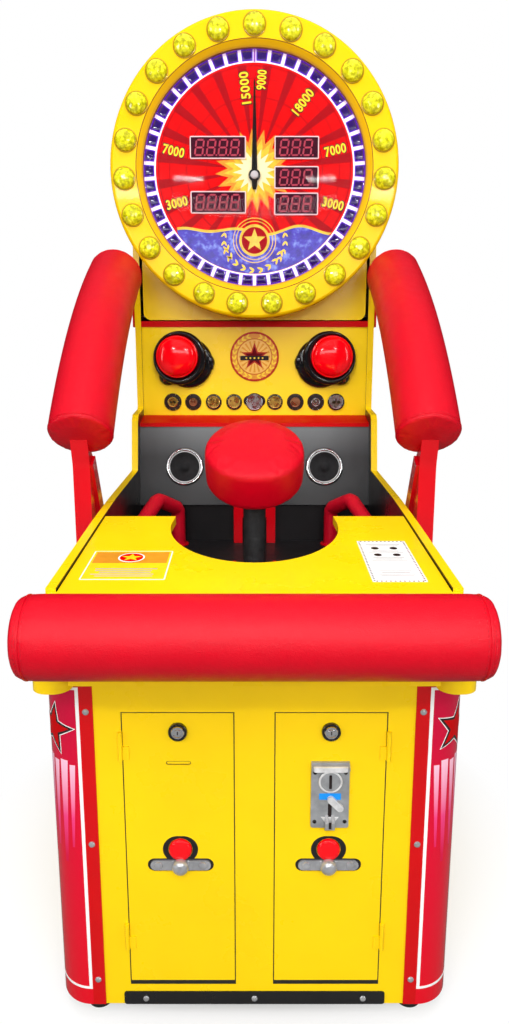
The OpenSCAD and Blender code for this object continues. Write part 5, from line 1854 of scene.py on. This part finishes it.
# Name, place, aim, size, watts and whether it shows in gloss
LAMPS = (
    ("key", (-0.3, -3.6, 4.0), (0, 0, 1.0), (3.6, 2.4), 112, False),
    ("top", (0, -1.2, 4.0), (0, -0.3, 0.8), (2.0, 1.0), 54, False),
    ("front", (0, -4.2, 1.5), (0, 0, 1.3), (3.4, 1.6), 42, False),
    ("fill_left", (-3.2, -2.2, 1.7), (0, 0, 1.0), (0.4, 2.4), 20, True),
    ("fill_right", (3.2, -2.2, 1.7), (0, 0, 1.0), (0.4, 2.4), 20, True),
    ("streak_left", (-1.05, -2.7, 2.2), (0, 0.5, 1.65), (0.6, 0.07), 9, True),
    ("streak_right", (1.05, -2.7, 2.2), (0, 0.5, 1.65), (0.6, 0.07), 9, True),
    ("band", (0, -3.2, 1.85), (0, 0, 0.8), (3.4, 0.32), 16, True),
)


def floor_paper():
    """White paper that shades near the machine and glows white further out."""
    paper = bpy.data.materials.new("floor_white")
    tree = blank_tree(paper)
    rays = wire(tree, "ShaderNodeLightPath")
    coords = wire(tree, "ShaderNodeTexCoord")["Object"]
    spot = wire(tree, "ShaderNodeMapping", {"Vector": coords, "Scale": (1.15, 1.0, 1.0)})[0]
    far = wire(tree, "ShaderNodeVectorMath", {0: spot}, operation="LENGTH")["Value"]
    edge = wire(tree, "ShaderNodeMapRange", {"Value": far, "From Min": 0.44, "From Max": 0.8})[0]
    shown = wire(tree, "ShaderNodeMix", {0: rays["Is Camera Ray"], 2: FLOOR_BOUNCE, 3: FLOOR_SEEN})[0]
    tone = wire(tree, "ShaderNodeMix", {0: rays["Is Glossy Ray"], 2: shown, 3: FLOOR_MIRRORED})[0]
    share = wire(tree, "ShaderNodeMath", {0: edge, 1: rays["Is Camera Ray"]}, operation="MULTIPLY")[0]
    matt = wire(tree, "ShaderNodeBsdfDiffuse", {0: tone})[0]
    glow = wire(tree, "ShaderNodeEmission")[0]
    mixed = wire(tree, "ShaderNodeMixShader", {0: share, 1: matt, 2: glow})[0]
    wire(tree, "ShaderNodeOutputMaterial", {0: mixed})
    return paper


def surroundings():
    """White behind the machine, softer as light, and in gloss brighter from above."""
    world = bpy.data.worlds.new("surroundings")
    tree = blank_tree(world)
    rays = wire(tree, "ShaderNodeLightPath")
    way = wire(tree, "ShaderNodeTexCoord")["Generated"]
    above = wire(
        tree, "ShaderNodeVectorMath", {0: way, 1: (0, -0.25, 0.95)}, operation="DOT_PRODUCT"
    )["Value"]
    limits = {"From Min": 0.25, "From Max": 0.95, "To Min": 0.02, "To Max": 0.5}
    shade = wire(tree, "ShaderNodeMapRange", {"Value": above, **limits})[0]
    strength = wire(tree, "ShaderNodeMix", {0: rays["Is Glossy Ray"], 2: 0.44, 3: shade})[0]
    soft = wire(tree, "ShaderNodeBackground", {0: (1, 1, 1, 1), 1: strength})[0]
    plain = wire(tree, "ShaderNodeBackground", {0: (1, 1, 1, 1), 1: 1.0})[0]
    mixed = wire(tree, "ShaderNodeMixShader", {0: rays["Is Camera Ray"], 1: soft, 2: plain})[0]
    wire(tree, "ShaderNodeOutputWorld", {0: mixed})
    return world


def make_stage():
    """White floor and surroundings, soft lamps and the camera."""
    scene = bpy.context.scene
    floor = bpy.data.meshes.new("floor")
    floor.from_pydata([(-9, -9, 0), (9, -9, 0), (9, 9, 0), (-9, 9, 0)], [], [(0, 1, 2, 3)])
    floor.materials.append(floor_paper())
    stage = [bpy.data.objects.new("floor", floor)]
    scene.world = surroundings()
    for name, spot, aim, size, watts, in_gloss in LAMPS:
        lamp = bpy.data.lights.new(name, "AREA")
        lamp.shape, lamp.size, lamp.size_y, lamp.energy = "RECTANGLE", *size, watts
        holder = bpy.data.objects.new(name, lamp)
        holder.location = spot
        holder.rotation_euler = (Vector(aim) - Vector(spot)).to_track_quat("-Z", "Y").to_euler()
        holder.visible_glossy = in_gloss
        stage.append(holder)
    camera = bpy.data.cameras.new("camera")
    camera.lens, camera.sensor_width = LENS, SENSOR
    view = bpy.data.objects.new("camera", camera)
    view.location, view.rotation_euler = (0, CAMERA_Y, CAMERA_Z), (math.radians(90 - CAMERA_TILT), 0, 0)
    stage.append(view)
    for thing in stage:
        scene.collection.objects.link(thing)
    scene.camera = view
    scene.view_settings.view_transform = "Standard"


# Settings, operators and panel


def length(name, default, description):
    return bpy.props.FloatProperty(
        name=name, description=description, default=default, min=0.0001, soft_max=2.0, unit="LENGTH",
        subtype="DISTANCE",
    )


class BOXING_settings(bpy.types.PropertyGroup):
    """Sizes and colours that change what the operators make."""

    roll_radius: length("Roll Radius", 0.065, "Radius of the padded roll in front of the deck")
    guard_radius: length("Side Pad Radius", 0.075, "Radius of the bowed pads at the sides")
    pad_radius: length("Punch Pad Radius", 0.113, "Radius of the pad that is punched")
    pad_thickness: length("Punch Pad Thickness", 0.107, "Height of the pad that is punched")
    rail_radius: length("Well Rail Radius", 0.0205, "Radius of the foam sleeves in the well")
    arm_radius: length("Arm Radius", 0.025, "Radius of the sleeved arm")
    dial_radius: length("Dial Radius", 0.2988, "Radius of the dial opening")
    light_radius: length("Light Ring Radius", 0.266, "Inner radius of the ring of lights")
    lamp_radius: length("Lamp Radius", 0.0305, "Radius of a lamp round the dial")
    number_height: length("Number Height", 0.025, "Height of the scores on the dial")
    display_height: length("Display Height", 0.057, "Height of a score window")
    needle_length: length("Needle Length", 0.236, "Length of the pointer")
    button_radius: length("Start Button Radius", 0.061, "Radius of a start button")
    shell_height: length("Shell Height", 0.026, "Height of the shells round the start buttons")
    badge_radius: length("Badge Radius", 0.072, "Radius of the round badge")
    medal_radius: length("Medal Radius", 0.0245, "Radius of a medal")
    medal_pitch: length("Medal Pitch", 0.061, "Distance between the medals")
    speaker_radius: length("Speaker Radius", 0.054, "Radius of a speaker ring")
    lock_radius: length("Lock Radius", 0.015, "Radius of a door lock")
    knob_radius: length("Door Button Radius", 0.020, "Radius of a door button")
    coin_width: length("Coin Plate Width", 0.064, "Width of the coin acceptor")
    coin_height: length("Coin Plate Height", 0.121, "Height of the coin acceptor")
    lamps: bpy.props.IntProperty(
        name="Lamps", description="Number of lamps round the dial", default=23, min=3, max=60
    )
    lights: bpy.props.IntProperty(
        name="Lights", description="Number of lights in the ring", default=46, min=6, max=120
    )
    paint: bpy.props.FloatVectorProperty(
        name="Paint", description="Colour of the cabinet", subtype="COLOR", size=3, min=0, max=1,
        default=YELLOW,
    )
    cover: bpy.props.FloatVectorProperty(
        name="Cover", description="Colour of the padded covers", subtype="COLOR", size=3, min=0, max=1,
        default=RED,
    )


def recoloured(finish, colour):
    """Gives a mottled finish its two tones again from one colour."""
    for node in finish.node_tree.nodes:
        if node.type == "VALTORGB" and len(node.color_ramp.elements) == 2:
            for element, share in zip(node.color_ramp.elements, (0.96, 1.04)):
                element.color = (*(min(1.0, c * share) for c in colour), 1)
            return


def dress_cabinet(s):
    """Gives every packed node its finish."""
    for key, names in NODE_FINISHES.items():
        for name in names.split():
            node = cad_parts[name]
            node.data.materials.clear()
            node.data.materials.append(FINISH[key])
    recoloured(FINISH["yellow"], s.paint)
    recoloured(FINISH["leather"], s.cover)


STEPS = (
    ("cabinet", "Cabinet Finishes", "Give every packed node its finish", dress_cabinet),
    (
        "roll", "Front Roll", "Make the padded roll in front of the deck",
        lambda s: make_front_roll(s.roll_radius),
    ),
    ("guards", "Side Pads", "Make the bowed pads at the sides", lambda s: make_guard_pads(s.guard_radius)),
    (
        "target",
        "Punch Pad",
        "Make the pad that is punched",
        lambda s: make_target_pad(s.pad_radius, s.pad_thickness),
    ),
    ("rails", "Well Rails", "Make the foam sleeves in the well", lambda s: make_well_rails(s.rail_radius)),
    ("arm", "Arm Sleeve", "Make the creased sleeve of the arm", lambda s: make_arm_sleeve(s.arm_radius)),
    ("dial", "Dial Face", "Print the face of the dial", lambda s: make_dial_print(s.light_radius)),
    ("numbers", "Dial Numbers", "Put the scores on the dial", lambda s: make_dial_numbers(s.number_height)),
    (
        "displays",
        "Score Windows",
        "Make the score windows",
        lambda s: make_score_displays(s.display_height),
    ),
    (
        "light_ring",
        "Light Ring",
        "Make the violet ring of lights",
        lambda s: make_light_ring(s.dial_radius, s.light_radius, s.lights),
    ),
    ("lamps", "Lamps", "Make the lamps round the dial", lambda s: make_lamps(s.lamp_radius, s.lamps)),
    ("needle", "Needle", "Make the pointer", lambda s: make_needle(s.needle_length)),
    ("dome", "Dial Dome", "Make the clear cover of the dial", lambda s: make_dome(s.dial_radius)),
    (
        "shells",
        "Glove Shells",
        "Make the shells round the start buttons",
        lambda s: make_glove_shells(s.button_radius, s.shell_height),
    ),
    ("starts", "Start Buttons", "Make the start buttons", lambda s: make_start_buttons(s.button_radius)),
    ("badge", "Badge", "Make the round badge", lambda s: make_badge(s.badge_radius)),
    ("medals", "Medals", "Make the row of medals", lambda s: make_medals(s.medal_radius, s.medal_pitch)),
    (
        "speakers", "Speakers", "Make the rings and cones of the speakers",
        lambda s: make_speakers(s.speaker_radius),
    ),
    ("locks", "Door Locks", "Make the faces of the door locks", lambda s: make_door_locks(s.lock_radius)),
    (
        "recesses", "Door Recesses", "Make the dark recesses of the doors",
        lambda s: make_door_recesses(s.knob_radius),
    ),
    ("gaps", "Door Gaps", "Make the dark seals round the doors", lambda s: make_door_gaps()),
    ("knobs", "Door Buttons", "Make the small red buttons", lambda s: make_door_buttons(s.knob_radius)),
    ("coin", "Coin Unit", "Dress the coin acceptor", lambda s: make_coin_unit(s.coin_width, s.coin_height)),
    ("wraps", "Corner Wraps", "Print the red corner wraps", lambda s: make_corner_wraps()),
    ("labels", "Deck Labels", "Put the labels on the deck", lambda s: make_deck_labels()),
    ("screws", "Screws", "Put the screws in the wraps and the kick plate", lambda s: make_screws()),
    ("stage", "Stage", "Make the floor, lamps and camera", lambda s: make_stage()),
)


def operator_for(key, label, description, build):
    def execute(self, context):
        build(context.scene.boxing_machine)
        return {"FINISHED"}

    members = {
        "__doc__": description,
        "bl_idname": f"boxing.make_{key}",
        "bl_label": label,
        "bl_options": {"REGISTER", "UNDO"},
        "execute": execute,
    }
    return type(f"BOXING_OT_make_{key}", (bpy.types.Operator,), members)


OPERATORS = [operator_for(*step) for step in STEPS]


class BOXING_PT_panel(bpy.types.Panel):
    """Lists the settings and the pieces that can be made."""

    bl_label = "Boxing Machine"
    bl_idname = "BOXING_PT_panel"
    bl_space_type = "VIEW_3D"
    bl_region_type = "UI"
    bl_category = "Boxing Machine"

    def draw(self, context):
        settings = context.scene.boxing_machine
        column = self.layout.column()
        for name in BOXING_settings.__annotations__:
            column.prop(settings, name)
        for made in OPERATORS:
            column.operator(made.bl_idname)


CLASSES = (BOXING_settings, *OPERATORS, BOXING_PT_panel)


def register():
    for cls in CLASSES:
        bpy.utils.register_class(cls)
    bpy.types.Scene.boxing_machine = bpy.props.PointerProperty(type=BOXING_settings)


def unregister():
    del bpy.types.Scene.boxing_machine
    for cls in reversed(CLASSES):
        bpy.utils.unregister_class(cls)


def main():
    register()
    for key, *_ in STEPS:
        getattr(bpy.ops.boxing, f"make_{key}")()


if __name__ == "__main__":
    main()
